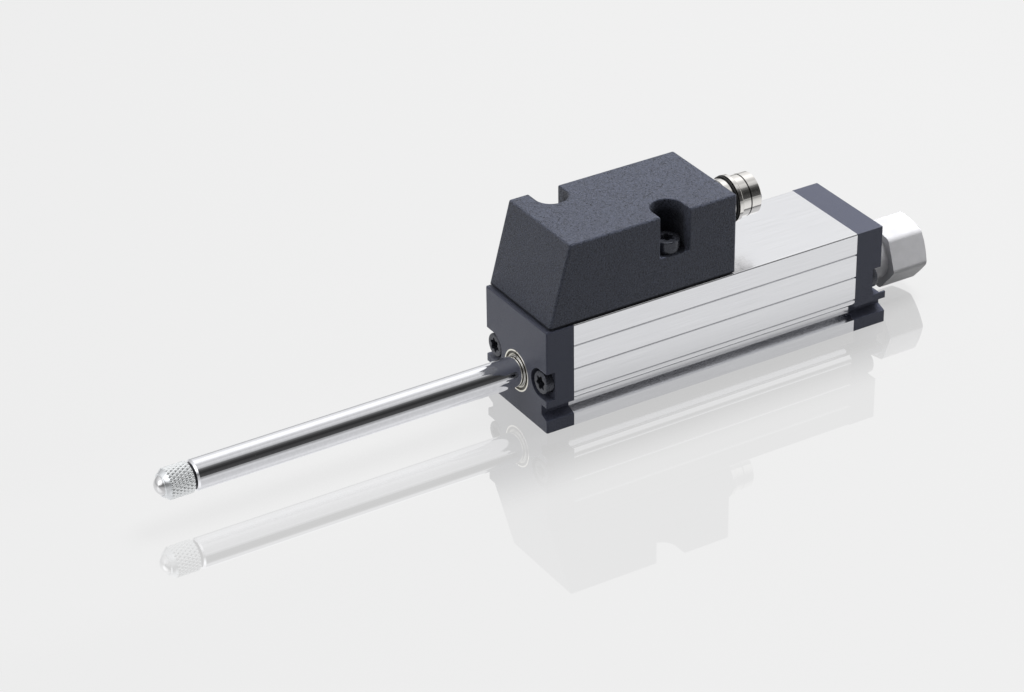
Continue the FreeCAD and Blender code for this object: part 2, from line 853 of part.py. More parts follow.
def make_spring_guide():
    return turned_body("spring_guide", [
        ("0", "0"),
        ("0", "guide_radius - guide_bevel"),
        ("guide_bevel", "guide_radius"),
        ("guide_length", "guide_radius"),
        ("guide_length", "0"),
    ], "guide_front_x")


def make_rear_plug():
    """The plug that closes the rear cap, seats the spring and holds the guide pin."""
    start = "rear_cap_length + neck_length"
    body = turned_body("rear_plug", [
        ("0", "0"),
        ("0", "plug_thread_radius"),
        ("rear_cap_length", "plug_thread_radius"),
        ("rear_cap_length", "neck_radius"),
        (start, "neck_radius"),
        (start, "0"),
    ], "rear_face_x")
    hexagon = new_sketch(body, "hexagon_outline", "YZ_Plane", start)
    outline(hexagon, hexagon_points("hex_across", "hex_turn"))
    pad(body, hexagon, "hexagon", "hex_length")
    round_edges(
        body, "corner_rounding", "hex_corner_round",
        lambda middle, along: abs(along.x) > 1 - SLACK
        and math.hypot(middle.y, middle.z) > number("hex_across / 2") + SLACK,
    )
    chamfer = new_sketch(body, "end_chamfer_section", "XZ_Plane")
    end = f"{start} + hex_length"
    outline(chamfer, [
        (end, "hex_face_radius"),
        (end, "hex_corner_radius"),
        (f"{end} - hex_chamfer", "hex_corner_radius"),
    ])
    turned_cut(body, chamfer, "end_chamfer")
    guide_hole = new_sketch(body, "guide_hole_outline", "YZ_Plane")
    circle(guide_hole, "0", "0", "guide_radius")
    pocket(body, guide_hole, "guide_hole", "guide_hold", reverse=True)
    return body


# Wiper carriage and resistance element


def make_wiper_carriage():
    body = new_body("wiper_carriage")
    section = new_sketch(body, "carriage_section", "YZ_Plane")
    outline(section, [
        ("carriage_radius", "carriage_top"),
        ("-carriage_radius", "carriage_top"),
        ("-carriage_radius", "rod_height", "centre_y", "rod_height", 1),
        ("carriage_radius", "rod_height"),
    ])
    pad(body, section, "block", "carriage_length")
    bore = new_sketch(body, "rod_bore_outline", "YZ_Plane")
    circle(bore, "0", "rod_height", "rod_radius + running_gap")
    pocket(body, bore, "rod_bore", "carriage_length", reverse=True)
    stakes = new_sketch(body, "stake_outline", "XY_Plane", "carriage_top")
    for side in SIDES:
        circle(stakes, "finger_reach + strip_length / 2", f"{side} * stake_spacing / 2", "stake_radius")
    pad(body, stakes, "stakes", "stake_height")
    place(body, "carriage_x")
    return body


def make_wiper_contact():
    """The contact strip: a flat base on the stakes, and two fingers that bend up to the tracks."""
    body = new_body("wiper_contact")
    base = new_sketch(body, "base_outline", "XY_Plane")
    rectangle(base, "0", "-strip_width / 2", "strip_length", "strip_width / 2")
    for side in SIDES:
        circle(base, "strip_length / 2", f"{side} * stake_spacing / 2", "stake_radius")
    pad(body, base, "base", "strip_thickness")
    rise = "track_face - finger_gap - carriage_top"
    crown_end = "-(finger_ramp + finger_crown)"
    for number_of, side in enumerate(SIDES, 1):
        centre = f"-({side}) * track_spacing / 2"
        finger = new_sketch(body, f"finger_{number_of}_section", "XZ_Plane", centre)
        outline(finger, [
            ("strip_thickness", "0"),
            ("strip_thickness", "strip_thickness"),
            ("0", "strip_thickness"),
            ("-finger_ramp", rise),
            (crown_end, rise),
            ("-finger_reach", f"{rise} - finger_dip"),
            ("-finger_reach", f"{rise} - finger_dip - strip_thickness"),
            (crown_end, f"{rise} - strip_thickness"),
            ("-finger_ramp", f"{rise} - strip_thickness"),
            ("0", "0"),
        ])
        pad(body, finger, f"finger_{number_of}", "finger_width", symmetric=True)
    place(body, "carriage_x + finger_reach", "0", "carriage_top")
    return body


def make_resistance_element():
    body = new_body("resistance_element")
    board = new_sketch(body, "board_section", "YZ_Plane")
    rectangle(board, "-element_width / 2", "0", "element_width / 2", "element_thickness")
    pad(body, board, "board", "element_length")
    tracks = new_sketch(body, "track_outline", "XY_Plane")
    for side in SIDES:
        middle = f"{side} * track_spacing / 2"
        rectangle(
            tracks, "track_margin", f"{middle} - track_width / 2",
            "element_length - track_margin", f"{middle} + track_width / 2",
        )
    pad(body, tracks, "tracks", "track_thickness", reverse=True)
    place(body, "front_cap_length + element_end_gap", "0", "element_height")
    return body


# Hood, gasket and hood screws


def on_pocket_edge(middle, along):
    """Tells whether an edge of the hood is where a screw pocket opens, at its top or its side."""
    above_floor = middle.z > number("pocket_floor + pocket_round") + SLACK
    for x, side in (("far_x", 1), ("near_x", -1)):
        outwards = side * middle.y - number("hood_screw_side")
        reach = math.hypot(middle.x - number(x), min(outwards, 0))
        in_wall = abs(reach - number("pocket_radius")) < SLACK
        at_side = side * middle.y > number("hood_half - hood_round")
        if in_wall and above_floor and (at_side or lies_at(middle.z, "hood_height")):
            return True
    return False


def make_connector_hood():
    """The moulded hood: a slanted front, a stepped hollow, and two screw towers with pockets."""
    body = new_body("connector_hood")
    side_view = new_sketch(body, "side_view", "XZ_Plane")
    outline(side_view, [
        ("0", "0"),
        ("hood_length", "0"),
        ("hood_length", "hood_height"),
        ("hood_lean", "hood_height"),
    ])
    pad(body, side_view, "block", "hood_width", symmetric=True)
    round_edges(
        body, "outer_rounding", "hood_round",
        lambda middle, along: not lies_at(middle.z, "0"),
    )

    lower = new_sketch(body, "lower_hollow_outline", "XY_Plane")
    rectangle(lower, "hollow_front", "hood_wall - hood_half", "hollow_rear", "hood_half - hood_wall")
    pocket(body, lower, "lower_hollow", "board_depth", reverse=True)
    upper = new_sketch(body, "upper_hollow_section", "XZ_Plane")
    outline(upper, [
        ("upper_wall + hood_slope * board_depth", "board_depth"),
        ("hood_length - upper_wall", "board_depth"),
        ("hood_length - upper_wall", "hood_ceiling"),
        ("upper_wall + hood_slope * hood_ceiling", "hood_ceiling"),
    ])
    pocket(body, upper, "upper_hollow", "hood_width - 2 * upper_wall", symmetric=True)

    towers = new_sketch(body, "tower_outline", "XY_Plane")
    pockets = new_sketch(body, "pocket_outline", "XY_Plane", "pocket_floor")
    holes = new_sketch(body, "screw_hole_outline", "XY_Plane")
    for x, side in (("far_x", 1), ("near_x", -1)):
        outline(towers, slot_points(x, side, "tower_radius", "tower_end"))
        outline(pockets, slot_points(x, side, "pocket_radius", "half_width"))
        circle(holes, x, f"{side} * hood_screw_side", "screw_hole_radius")
    pad(body, towers, "towers", "hood_height - hood_roof / 2")
    pocket(body, pockets, "pockets", "hood_height - pocket_floor", reverse=True)
    round_edges(
        body, "pocket_floor_rounding", "pocket_round",
        lambda middle, along: lies_at(middle.z, "pocket_floor")
        and abs(middle.y) < number("hood_half") - SLACK,
        grows=True,
    )
    round_edges(body, "pocket_edge_rounding", "pocket_edge_round", on_pocket_edge)
    pocket(body, holes, "screw_holes", "pocket_floor", reverse=True)

    inlet = new_sketch(body, "connector_hole_outline", "YZ_Plane", "hood_length")
    circle(inlet, "0", "connector_height", "shank_radius + shank_gap")
    pocket(body, inlet, "connector_hole", "upper_wall")
    place(body, "hood_front_x", "0", "hood_z")
    return body


def make_hood_gasket():
    body = new_body("hood_gasket")
    sheet = new_sketch(body, "gasket_outline", "XY_Plane")
    edge = "hood_half - gasket_inset"
    rectangle(sheet, "gasket_inset", f"-({edge})", "hood_length - gasket_inset", edge)
    window = "window_x - hood_front_x"
    rectangle(sheet, window, "-window_width / 2", f"{window} + window_length", "window_width / 2")
    for x, side in (("far_x", 1), ("near_x", -1)):
        circle(sheet, x, f"{side} * hood_screw_side", "screw_hole_radius")
    pad(body, sheet, "sheet", "gasket_thickness")
    place(body, "hood_front_x", "0", "body_height")
    return body


def make_hood_screws():
    members = []
    for number_of, (x, side) in enumerate((("far_screw_x", 1), ("near_screw_x", -1)), 1):
        screw = make_screw(
            f"hood_screws_{number_of}", "hood_head_radius", "hood_head_height",
            "hood_shank_length", "hood_thread_length",
        )
        place(screw, x, f"{side} * hood_screw_side", "hood_z + pocket_floor")
        screw.Placement.Rotation = FreeCAD.Rotation(FreeCAD.Vector(0, 1, 0), 90)
        members.append(screw)
    return group("hood_screws", members)


# Board and leads


def make_circuit_board():
    """The board under the hood's shoulder, cut out round the screw towers, with its parts."""
    body = new_body("circuit_board")
    sheet = new_sketch(body, "board_outline", "XY_Plane")
    rectangle(sheet, "board_start_x", "-board_half", "board_end_x", "board_half")
    pad(body, sheet, "sheet", "board_thickness")
    cuts = new_sketch(body, "tower_cut_outline", "XY_Plane")
    for x, side in (("far_screw_x", 1), ("near_screw_x", -1)):
        outline(cuts, slot_points(x, side, "(tower_radius + board_play)", "half_width"))
    pocket(body, cuts, "tower_cuts", "board_thickness", reverse=True)
    parts = new_sketch(body, "chip_outline", "XY_Plane", "board_thickness")
    rectangle(parts, "chip_x", "-chip_width / 2", "chip_x + chip_length", "chip_width / 2")
    pad(body, parts, "chip", "chip_height")
    small = new_sketch(body, "small_part_outline", "XY_Plane", "board_thickness")
    for index in range(SMALL_PARTS):
        low = f"{index} * part_pitch"
        rectangle(small, "part_x", low, "part_x + part_length", f"{low} + part_width")
    pad(body, small, "small_parts", "part_height")
    place(body, "0", "0", "board_z")
    return body


def make_element_leads():
    """Three straight leads from the resistance element up to the board."""
    members = []
    for index in (-1, 0, 1):
        lead = doc.addObject("Part::Cylinder", f"element_leads_{index + 2}")
        bind(lead, "Radius", "lead_radius")
        bind(lead, "Height", "board_z - element_height - element_thickness")
        place(lead, "lead_x", f"{index} * lead_pitch", "element_height + element_thickness")
        members.append(lead)
    return group("element_leads", members)


def bent_path(sketch, reach, drop):
    """An open path: forwards from the pin, round one bend, and straight down."""
    bend, far, low = number("bend_radius"), number(reach), number(drop)
    centre = FreeCAD.Vector(bend - far, -bend, 0)
    turn_in = FreeCAD.Vector(bend - far, 0, 0)
    turn_out = FreeCAD.Vector(-far, -bend, 0)
    run = sketch.addGeometry(Part.LineSegment(FreeCAD.Vector(0, 0, 0), turn_in), False)
    whole = Part.Circle(centre, FreeCAD.Vector(0, 0, 1), bend)
    arc = sketch.addGeometry(Part.ArcOfCircle(whole, math.pi / 2, math.pi), False)
    leg = sketch.addGeometry(Part.LineSegment(turn_out, FreeCAD.Vector(-far, -low, 0)), False)
    hold_point(sketch, run, 1, "0", "0")
    hold_point(sketch, run, 2, f"bend_radius - {reach}", "0")
    hold_point(sketch, leg, 1, f"-({reach})", "-bend_radius")
    hold_point(sketch, leg, 2, f"-({reach})", f"-({drop})")
    sketch.addConstraint(Sketcher.Constraint("Coincident", run, 2, arc, 1))
    sketch.addConstraint(Sketcher.Constraint("Coincident", arc, 2, leg, 1))
    hold(sketch, "DistanceX", (-1, 1, arc, 3), f"bend_radius - {reach}")


def make_connector_leads():
    """A lead from the back of each pin, bent down to the board."""
    members = []
    for row, reach in ((1, "2 * bend_step"), (-1, "bend_step")):
        for side in SIDES:
            label = f"connector_leads_{len(members) + 1}"
            body = new_body(label)
            path = new_sketch(body, f"{label}_path", "XZ_Plane")
            drop = f"(connector_height + {row} * pin_spread - board_depth)"
            bent_path(path, reach, drop)
            ring = new_sketch(body, f"{label}_section", "YZ_Plane")
            circle(ring, "0", "0", "lead_radius")
            pipe = body.newObject("PartDesign::AdditivePipe", f"{label}_pipe")
            pipe.Profile = ring
            pipe.Spine = path
            finish_feature(body, pipe, True)
            place(body, "hood_rear_x - pin_end", f"{side} * pin_spread", f"connector_z + {row} * pin_spread")
            members.append(body)
    return group("connector_leads", members)


# Connector


def make_connector_shell():
    line_end = "barrel_line_at + barrel_line_width"
    line_floor = "barrel_radius - barrel_line_depth"
    collar_end = "seal_end + collar_length"
    return turned_body("connector_shell", [
        ("-shank_length", "insert_radius"),
        ("-shank_length", "shank_radius"),
        ("0", "shank_radius"),
        ("0", "base_radius"),
        ("seal_at", "base_radius"),
        ("seal_at", "seal_groove_radius"),
        ("seal_end", "seal_groove_radius"),
        ("seal_end", "collar_radius"),
        (f"{collar_end} - collar_bevel", "collar_radius"),
        (collar_end, "collar_radius - collar_bevel"),
        (collar_end, line_floor),
        (f"{collar_end} + barrel_line_width", line_floor),
        (f"{collar_end} + barrel_line_width", "barrel_radius"),
        ("barrel_line_at", "barrel_radius"),
        ("barrel_line_at", line_floor),
        (line_end, line_floor),
        (line_end, "barrel_radius"),
        ("barrel_length - barrel_bevel", "barrel_radius"),
        ("barrel_length", "barrel_radius - barrel_bevel"),
        ("barrel_length", "socket_radius"),
        ("insert_front", "socket_radius"),
        ("insert_front", "insert_radius"),
    ], "hood_rear_x", "0", "connector_z")


def make_connector_seal():
    body = new_body("connector_seal")
    wire = new_sketch(body, "seal_section", "XZ_Plane")
    circle(wire, "0", "seal_groove_radius + seal_wire", "seal_wire")
    turned(body, wire, "seal_ring")
    place(body, "hood_rear_x + seal_at + seal_wire", "0", "connector_z")
    return body


def make_connector_insert():
    body = turned_body("connector_insert", [
        ("-shank_length", "0"),
        ("-shank_length", "insert_radius"),
        ("insert_front", "insert_radius"),
        ("insert_front", "0"),
    ], "hood_rear_x", "0", "connector_z")
    holes = new_sketch(body, "pin_hole_outline", "YZ_Plane", "insert_front")
    for row in SIDES:
        for side in SIDES:
            circle(holes, f"{side} * pin_spread", f"{row} * pin_spread", "pin_radius")
    pocket(body, holes, "pin_holes", "insert_front + shank_length")
    return body


def make_connector_pins():
    members = []
    for row in SIDES:
        for side in SIDES:
            members.append(turned_body(f"connector_pins_{len(members) + 1}", [
                ("-pin_end", "0"),
                ("-pin_end", "pin_radius"),
                ("pin_front - 2 * pin_bevel", "pin_radius"),
                ("pin_front", "pin_radius - pin_bevel"),
                ("pin_front", "0"),
            ], "hood_rear_x", f"{side} * pin_spread", f"connector_z + {row} * pin_spread"))
    return group("connector_pins", members)


def make_connector_nut():
    body = new_body("connector_nut")
    hexagon = new_sketch(body, "nut_outline", "YZ_Plane")
    outline(hexagon, hexagon_points("nut_across"))
    circle(hexagon, "0", "0", "shank_radius")
    pad(body, hexagon, "nut", "nut_length")
    place(body, "hood_rear_x - upper_wall - nut_length", "0", "connector_z")
    return body


subparts = [
    make_housing_profile(),
    make_front_end_cap(),
    make_rear_end_cap(),
    make_cap_screws("front_cap_screws", "cap_shank_length", "cap_recess_depth", 1),
    make_cap_screws("rear_cap_screws", "rear_shank_length", "end_x - cap_recess_depth", -1),
    make_rod_bush(),
    make_front_buffer(),
    make_push_rod(),
    make_rod_rings(),
    make_tip_sleeve(),
    make_tip_ball(),
    make_return_spring(),
    make_spring_guide(),
    make_rear_plug(),
    make_wiper_carriage(),
    make_wiper_contact(),
    make_resistance_element(),
    make_connector_hood(),
    make_hood_gasket(),
    make_hood_screws(),
    make_circuit_board(),
    make_element_leads(),
    make_connector_leads(),
    make_connector_shell(),
    make_connector_seal(),
    make_connector_insert(),
    make_connector_pins(),
    make_connector_nut(),
]

doc.recompute()
for item in doc.Objects:
    if "Invalid" in item.State or "Error" in item.State:
        raise RuntimeError(f"{item.Label} did not recompute: {item.State}")
for item in subparts:
    if item.Shape.isNull() or not item.Shape.isValid():
        raise RuntimeError(f"{item.Label} has no valid shape")

os.makedirs("parts", exist_ok=True)
for item in subparts:
    item.Shape.exportStep(f"parts/{item.Label}.step")
    print(item.Label, len(item.Shape.Solids), round(item.Shape.Volume, 2))
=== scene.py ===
import json
import math

import bmesh
import bpy
from mathutils import Matrix, Vector

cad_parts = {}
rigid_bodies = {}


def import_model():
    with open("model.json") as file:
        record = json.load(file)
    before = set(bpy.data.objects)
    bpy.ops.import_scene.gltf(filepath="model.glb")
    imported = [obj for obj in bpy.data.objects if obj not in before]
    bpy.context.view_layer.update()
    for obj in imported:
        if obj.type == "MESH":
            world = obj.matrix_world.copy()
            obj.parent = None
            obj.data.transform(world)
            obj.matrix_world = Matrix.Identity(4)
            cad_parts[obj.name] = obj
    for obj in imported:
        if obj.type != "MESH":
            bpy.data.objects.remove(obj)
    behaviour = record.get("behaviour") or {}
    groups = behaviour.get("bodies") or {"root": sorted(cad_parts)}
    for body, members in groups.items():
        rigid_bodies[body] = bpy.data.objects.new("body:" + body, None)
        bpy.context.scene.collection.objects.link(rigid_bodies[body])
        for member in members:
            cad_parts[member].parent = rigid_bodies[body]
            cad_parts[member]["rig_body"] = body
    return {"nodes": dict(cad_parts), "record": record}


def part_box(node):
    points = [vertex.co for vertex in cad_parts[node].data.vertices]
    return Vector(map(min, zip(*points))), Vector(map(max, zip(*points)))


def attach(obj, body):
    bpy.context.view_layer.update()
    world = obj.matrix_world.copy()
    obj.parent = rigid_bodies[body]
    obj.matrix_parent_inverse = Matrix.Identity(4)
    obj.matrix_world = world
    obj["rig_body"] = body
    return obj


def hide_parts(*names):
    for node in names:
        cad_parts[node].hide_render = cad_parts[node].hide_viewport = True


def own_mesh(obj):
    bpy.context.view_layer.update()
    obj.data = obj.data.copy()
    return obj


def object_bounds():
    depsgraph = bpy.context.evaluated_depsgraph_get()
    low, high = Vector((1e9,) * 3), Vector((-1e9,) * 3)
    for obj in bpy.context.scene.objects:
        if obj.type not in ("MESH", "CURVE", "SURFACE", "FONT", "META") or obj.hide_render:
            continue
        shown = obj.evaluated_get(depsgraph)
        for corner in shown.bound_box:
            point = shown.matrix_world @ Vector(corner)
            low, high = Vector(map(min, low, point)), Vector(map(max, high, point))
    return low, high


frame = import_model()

CAD_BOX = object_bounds()
MM = 0.001

# Camera, in the photograph's place. Lengths are in millimetres and angles in degrees.
CAMERA_PLACE = (-266.26, -387.43, 276.53)
CAMERA_AZIMUTH = -31.08
CAMERA_ELEVATION = 30.35
CAMERA_ROLL = -0.808
CAMERA_LENS = 118.35
CAMERA_SENSOR = 36.0
CAMERA_CLIP = 10.0

# Knurled tip. Places along it are distances in front of the rod's end. Edges between faces that
# meet at more than KNURL_SHARP degrees stay sharp.
KNURL_STARTS = 24
KNURL_PITCH = 1.2
KNURL_STEPS = 10
KNURL_COLUMNS = KNURL_STARTS * KNURL_STEPS
KNURL_DEPTH = 0.22
KNURL_FLAT = 0.74
KNURL_RUNOUT = 0.3
KNURL_SHARP = 24.0
NECK_LENGTH = 0.45
NECK_RADIUS = 1.7
NECK_STEP = 0.001
SLEEVE_BEVEL = 0.15
CONE_START = 4.3
RIM_START = 4.95
RIM_RADIUS = 1.95
RIM_BEVEL = 0.12
RIM_SHOULDER = (0.06, 0.05)
RIM_CROWN = 0.015
RIM_PROUD = 0.7
MOUTH_BEVEL = 0.03
MOUTH_DEPTH = 0.05
BALL_CENTRE = 4.45
BALL_SOCKET = 1.72
STUD_RADIUS = 1.25
STUD_CORE = 0.35
STUD_FACE = 0.02
STUD_STEP = 0.01
# Material slots of the tip; the neck's holds painted shade.
NECK_SHADE_SLOT = 1
FRONT_SLOT = 2

# Screws. Their two twists are the angles, in degrees, at which their sockets stand.
SCREW_SEGMENTS = 72
SHANK_RADIUS = 1.05
SHANK_POINT = 0.6
SHANK_BEVEL = 0.3
SHANK_STEP = 0.02
CAP_HEAD_RADIUS = 1.95
CAP_HEAD_HEIGHT = 1.4
CAP_TWISTS = (17, 42)
HOOD_HEAD_RADIUS = 2.1
HOOD_HEAD_HEIGHT = 2.0
HOOD_TWISTS = (8, 28)
HEAD_BEVEL = 0.08
HEAD_ROUND = 0.25
ARC_STEPS = 5
LOBES = 6
LOBE_MIDDLE = 1.05
LOBE_SWING = 0.19
LOBE_BEVEL = 0.05
LOBE_TAPER = 0.03
SOCKET_LAND = 0.12
SOCKET_DEPTH = 1.0
SOCKET_POINT = 0.2

# Ring seal
RING_STEPS = 16
RING_WIRE = 0.2

# Return spring
WIRE_RADIUS = 0.15
WIRE_SIDES = 8
COIL_PITCH = 3.6
COIL_STEPS = 24


# Meshes


def new_piece(name, mesh, node, material, sharp=32.0):
    """Adds a piece that stands for a CAD node, on the node's own body."""
    mesh.validate()
    mesh.shade_smooth()
    mesh.set_sharp_from_angle(angle=math.radians(sharp))
    piece = bpy.data.objects.new(name, mesh)
    bpy.context.scene.collection.objects.link(piece)
    piece.data.materials.append(material)
    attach(piece, frame["nodes"][node]["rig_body"])
    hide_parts(node)
    return piece


def ring(bm, matrix, x, radii):
    """A ring of points round the X axis, in millimetres, with one radius for each point."""
    count = len(radii)
    points = []
    for index, radius in enumerate(radii):
        angle = 2 * math.pi * index / count
        place = Vector((x, radius * math.cos(angle), radius * math.sin(angle)))
        points.append(bm.verts.new(matrix @ (place * MM)))
    return points


def join_rings(bm, first, second, crossed=None):
    """Quads between two rings. crossed says for each column which way a quad is split, or None."""
    count = len(first)
    for index in range(count):
        after = (index + 1) % count
        corners = (first[index], first[after], second[after], second[index])
        way = crossed(index) if crossed else None
        if way is None:
            bm.faces.new(corners)
        elif way:
            bm.faces.new((corners[0], corners[1], corners[3]))
            bm.faces.new((corners[1], corners[2], corners[3]))
        else:
            bm.faces.new((corners[0], corners[1], corners[2]))
            bm.faces.new((corners[0], corners[2], corners[3]))


def close_ring(bm, matrix, points, x):
    """Closes a ring with a fan to a point on the axis."""
    tip = bm.verts.new(matrix @ Vector((x * MM, 0, 0)))
    for index, point in enumerate(points):
        bm.faces.new((point, points[(index + 1) % len(points)], tip))


def finish_mesh(bm, name):
    bmesh.ops.recalc_face_normals(bm, faces=bm.faces)
    mesh = bpy.data.meshes.new(name)
    bm.to_mesh(mesh)
    bm.free()
    return mesh


def groove_height(turns):
    """A V groove's height over one pitch: 0 at its bottom and 1 at the ridge."""
    return abs(2 * (turns % 1.0) - 1)


def tip_radius(x, outer):
    """The tip's radius without its knurl, from the neck to the cone."""
    if x < NECK_LENGTH + SLEEVE_BEVEL:
        return outer - (NECK_LENGTH + SLEEVE_BEVEL - x)
    if x > CONE_START:
        return outer - (x - CONE_START) * (outer - RIM_RADIUS) / (RIM_START - CONE_START)
    return outer


def knurl_radii(row, x, outer):
    """One ring of the diamond knurl, whose pits lie between flat ridges."""
    radii = []
    for column in range(KNURL_COLUMNS):
        across = groove_height((column + row) / KNURL_STEPS)
        along = groove_height((column - row) / KNURL_STEPS)
        height = min(max(across, along), KNURL_FLAT) / KNURL_FLAT
        radii.append(min(tip_radius(x, outer), outer - KNURL_DEPTH * (1 - height)))
    return radii


def ridge_split(row):
    """Says how the quads between two rings of the knurl are split, so that its ridges stay sharp."""
    half = KNURL_STEPS // 2

    def crossed(column):
        if (column + row + 1) % half == 0:
            return True
        return False if (column - row) % half == 0 else None

    return crossed


def stud_outline(outer, stud):
    """The stud in the rod and the neck, as places and radii."""
    return [
        (-stud, STUD_CORE), (-stud + STUD_FACE, STUD_RADIUS - SLEEVE_BEVEL),
        (-stud + SLEEVE_BEVEL, STUD_RADIUS), (-STUD_STEP, STUD_RADIUS), (0, NECK_RADIUS),
        (NECK_LENGTH, NECK_RADIUS), (NECK_LENGTH + NECK_STEP, outer - SLEEVE_BEVEL),
    ]


def rim_outline():
    """The rolled rim and the socket of the ball, as places and radii."""
    mouth = math.sqrt(BALL_SOCKET**2 - RIM_PROUD**2)
    face = BALL_CENTRE + RIM_PROUD
    back, inward = RIM_SHOULDER
    return [
        (RIM_START, RIM_RADIUS), (face - back, RIM_RADIUS - inward), (face, RIM_RADIUS - RIM_BEVEL),
        (face + RIM_CROWN, (RIM_RADIUS - RIM_BEVEL + mouth) / 2), (face, mouth + MOUTH_BEVEL),
        (face - MOUTH_DEPTH, mouth), (BALL_CENTRE, BALL_SOCKET),
    ]


def slot_tip_faces(bm, end):
    """Gives the neck, which carries painted shade, and the front of the tip their own material slots."""
    for face in bm.faces:
        place = end - face.calc_center_median().x / MM
        if place > CONE_START:
            face.material_index = FRONT_SLOT
        elif -SLEEVE_BEVEL < place < NECK_LENGTH + NECK_STEP:
            face.material_index = NECK_SHADE_SLOT


def knurled_sleeve():
    """The tip: a diamond knurl between the neck and the cone, and the rolled rim round the ball."""
    low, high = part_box("tip_sleeve")
    outer = (high.z - low.z) / 2 / MM
    end = low.x / MM + BALL_CENTRE + RIM_PROUD
    matrix = Matrix.Translation(Vector((0, (low.y + high.y) / 2, (low.z + high.z) / 2)))
    bm = bmesh.new()
    rings = []
    for x, radius in stud_outline(outer, high.x / MM - end):
        rings.append(ring(bm, matrix, end - x, [radius] * KNURL_COLUMNS))
    first_row = len(rings)
    step = KNURL_PITCH / KNURL_STEPS
    start = NECK_LENGTH + SLEEVE_BEVEL
    rows = int((CONE_START + KNURL_RUNOUT - start) / step) + 1
    for row in range(rows):
        x = start + row * step
        rings.append(ring(bm, matrix, end - x, knurl_radii(row, x, outer)))
    last_row = len(rings) - 1
    for x, radius in rim_outline():
        rings.append(ring(bm, matrix, end - x, [radius] * KNURL_COLUMNS))
    for index in range(len(rings) - 1):
        crossed = ridge_split(index - first_row) if first_row <= index < last_row else None
        join_rings(bm, rings[index], rings[index + 1], crossed)
    slot_tip_faces(bm, end)
    return finish_mesh(bm, "knurled_sleeve")


def seal_ring():
    """The ring seal on the connector, drawn a little thinner than the groove that holds it."""
    low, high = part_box("connector_seal")
    middle = (low + high) / 2 / MM
    outer = (high.z - low.z) / 2 / MM
    seat = outer - (high.x - low.x) / MM
    matrix = Matrix.Translation(Vector((0, middle.y, middle.z)) * MM)
    bm = bmesh.new()
    rings = []
    for step in range(RING_STEPS):
        angle = 2 * math.pi * step / RING_STEPS
        radius = (outer + seat) / 2 + (outer - seat) / 2 * math.cos(angle)
        rings.append(ring(bm, matrix, middle.x + RING_WIRE * math.sin(angle), [radius] * SCREW_SEGMENTS))
    for index in range(RING_STEPS):
        join_rings(bm, rings[index], rings[(index + 1) % RING_STEPS])
    return finish_mesh(bm, "connector_ring")


def coiled_spring():
    """The return spring, drawn again as a helix of wire."""
    low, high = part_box("return_spring")
    middle = (low + high) / 2 / MM
    coil = (high.z - low.z) / 2 / MM - WIRE_RADIUS
    first = low.x / MM + WIRE_RADIUS
    length = (high.x - low.x) / MM - 2 * WIRE_RADIUS
    count = round(length / COIL_PITCH * COIL_STEPS)
    bm = bmesh.new()
    rings = []
    for step in range(count + 1):
        angle = 2 * math.pi * step / COIL_STEPS
        outward = Vector((0, math.sin(angle), math.cos(angle)))
        centre = Vector((first + length * step / count, middle.y, middle.z)) + outward * coil
        points = []
        for side in range(WIRE_SIDES):
            turn = 2 * math.pi * side / WIRE_SIDES
            offset = outward * math.cos(turn) + Vector((1, 0, 0)) * math.sin(turn)
            points.append(bm.verts.new((centre + offset * WIRE_RADIUS) * MM))
        rings.append(points)
    for index in range(count):
        join_rings(bm, rings[index], rings[index + 1])
    bm.faces.new(rings[0])
    bm.faces.new(rings[-1])
    return finish_mesh(bm, "coiled_spring")


def lobe_radii(extra=0.0):
    """The six-lobed socket's radius at each point of a ring."""
    angles = [2 * math.pi * index / SCREW_SEGMENTS for index in range(SCREW_SEGMENTS)]
    return [LOBE_MIDDLE + extra + LOBE_SWING * math.cos(LOBES * angle) for angle in angles]


def add_screw(bm, matrix, head_radius, head_height, length):
    """A screw along +X from the underside of its head, with a rounded head and a six-lobed socket."""

    def round_ring(x, radius):
        return ring(bm, matrix, x, [radius] * SCREW_SEGMENTS)

    top = -head_height
    rings = [
        round_ring(length, SHANK_RADIUS * SHANK_POINT), round_ring(length - SHANK_BEVEL, SHANK_RADIUS),
        round_ring(SHANK_STEP, SHANK_RADIUS), round_ring(0, head_radius - HEAD_BEVEL),
        round_ring(-HEAD_BEVEL, head_radius),
    ]
    for step in range(ARC_STEPS + 1):
        angle = math.pi / 2 * step / ARC_STEPS
        x = top + HEAD_ROUND * (1 - math.sin(angle))
        rings.append(round_ring(x, head_radius - HEAD_ROUND * (1 - math.cos(angle))))
    rings.append(round_ring(top, LOBE_MIDDLE + LOBE_SWING + LOBE_BEVEL + SOCKET_LAND))
    rings.append(ring(bm, matrix, top, lobe_radii(LOBE_BEVEL)))
    rings.append(ring(bm, matrix, top + LOBE_BEVEL, lobe_radii()))
    rings.append(ring(bm, matrix, top + SOCKET_DEPTH, lobe_radii(-LOBE_TAPER)))
    for index in range(len(rings) - 1):
        join_rings(bm, rings[index], rings[index + 1])
    close_ring(bm, matrix, rings[0], length)
    close_ring(bm, matrix, rings[-1], top + SOCKET_DEPTH + SOCKET_POINT)


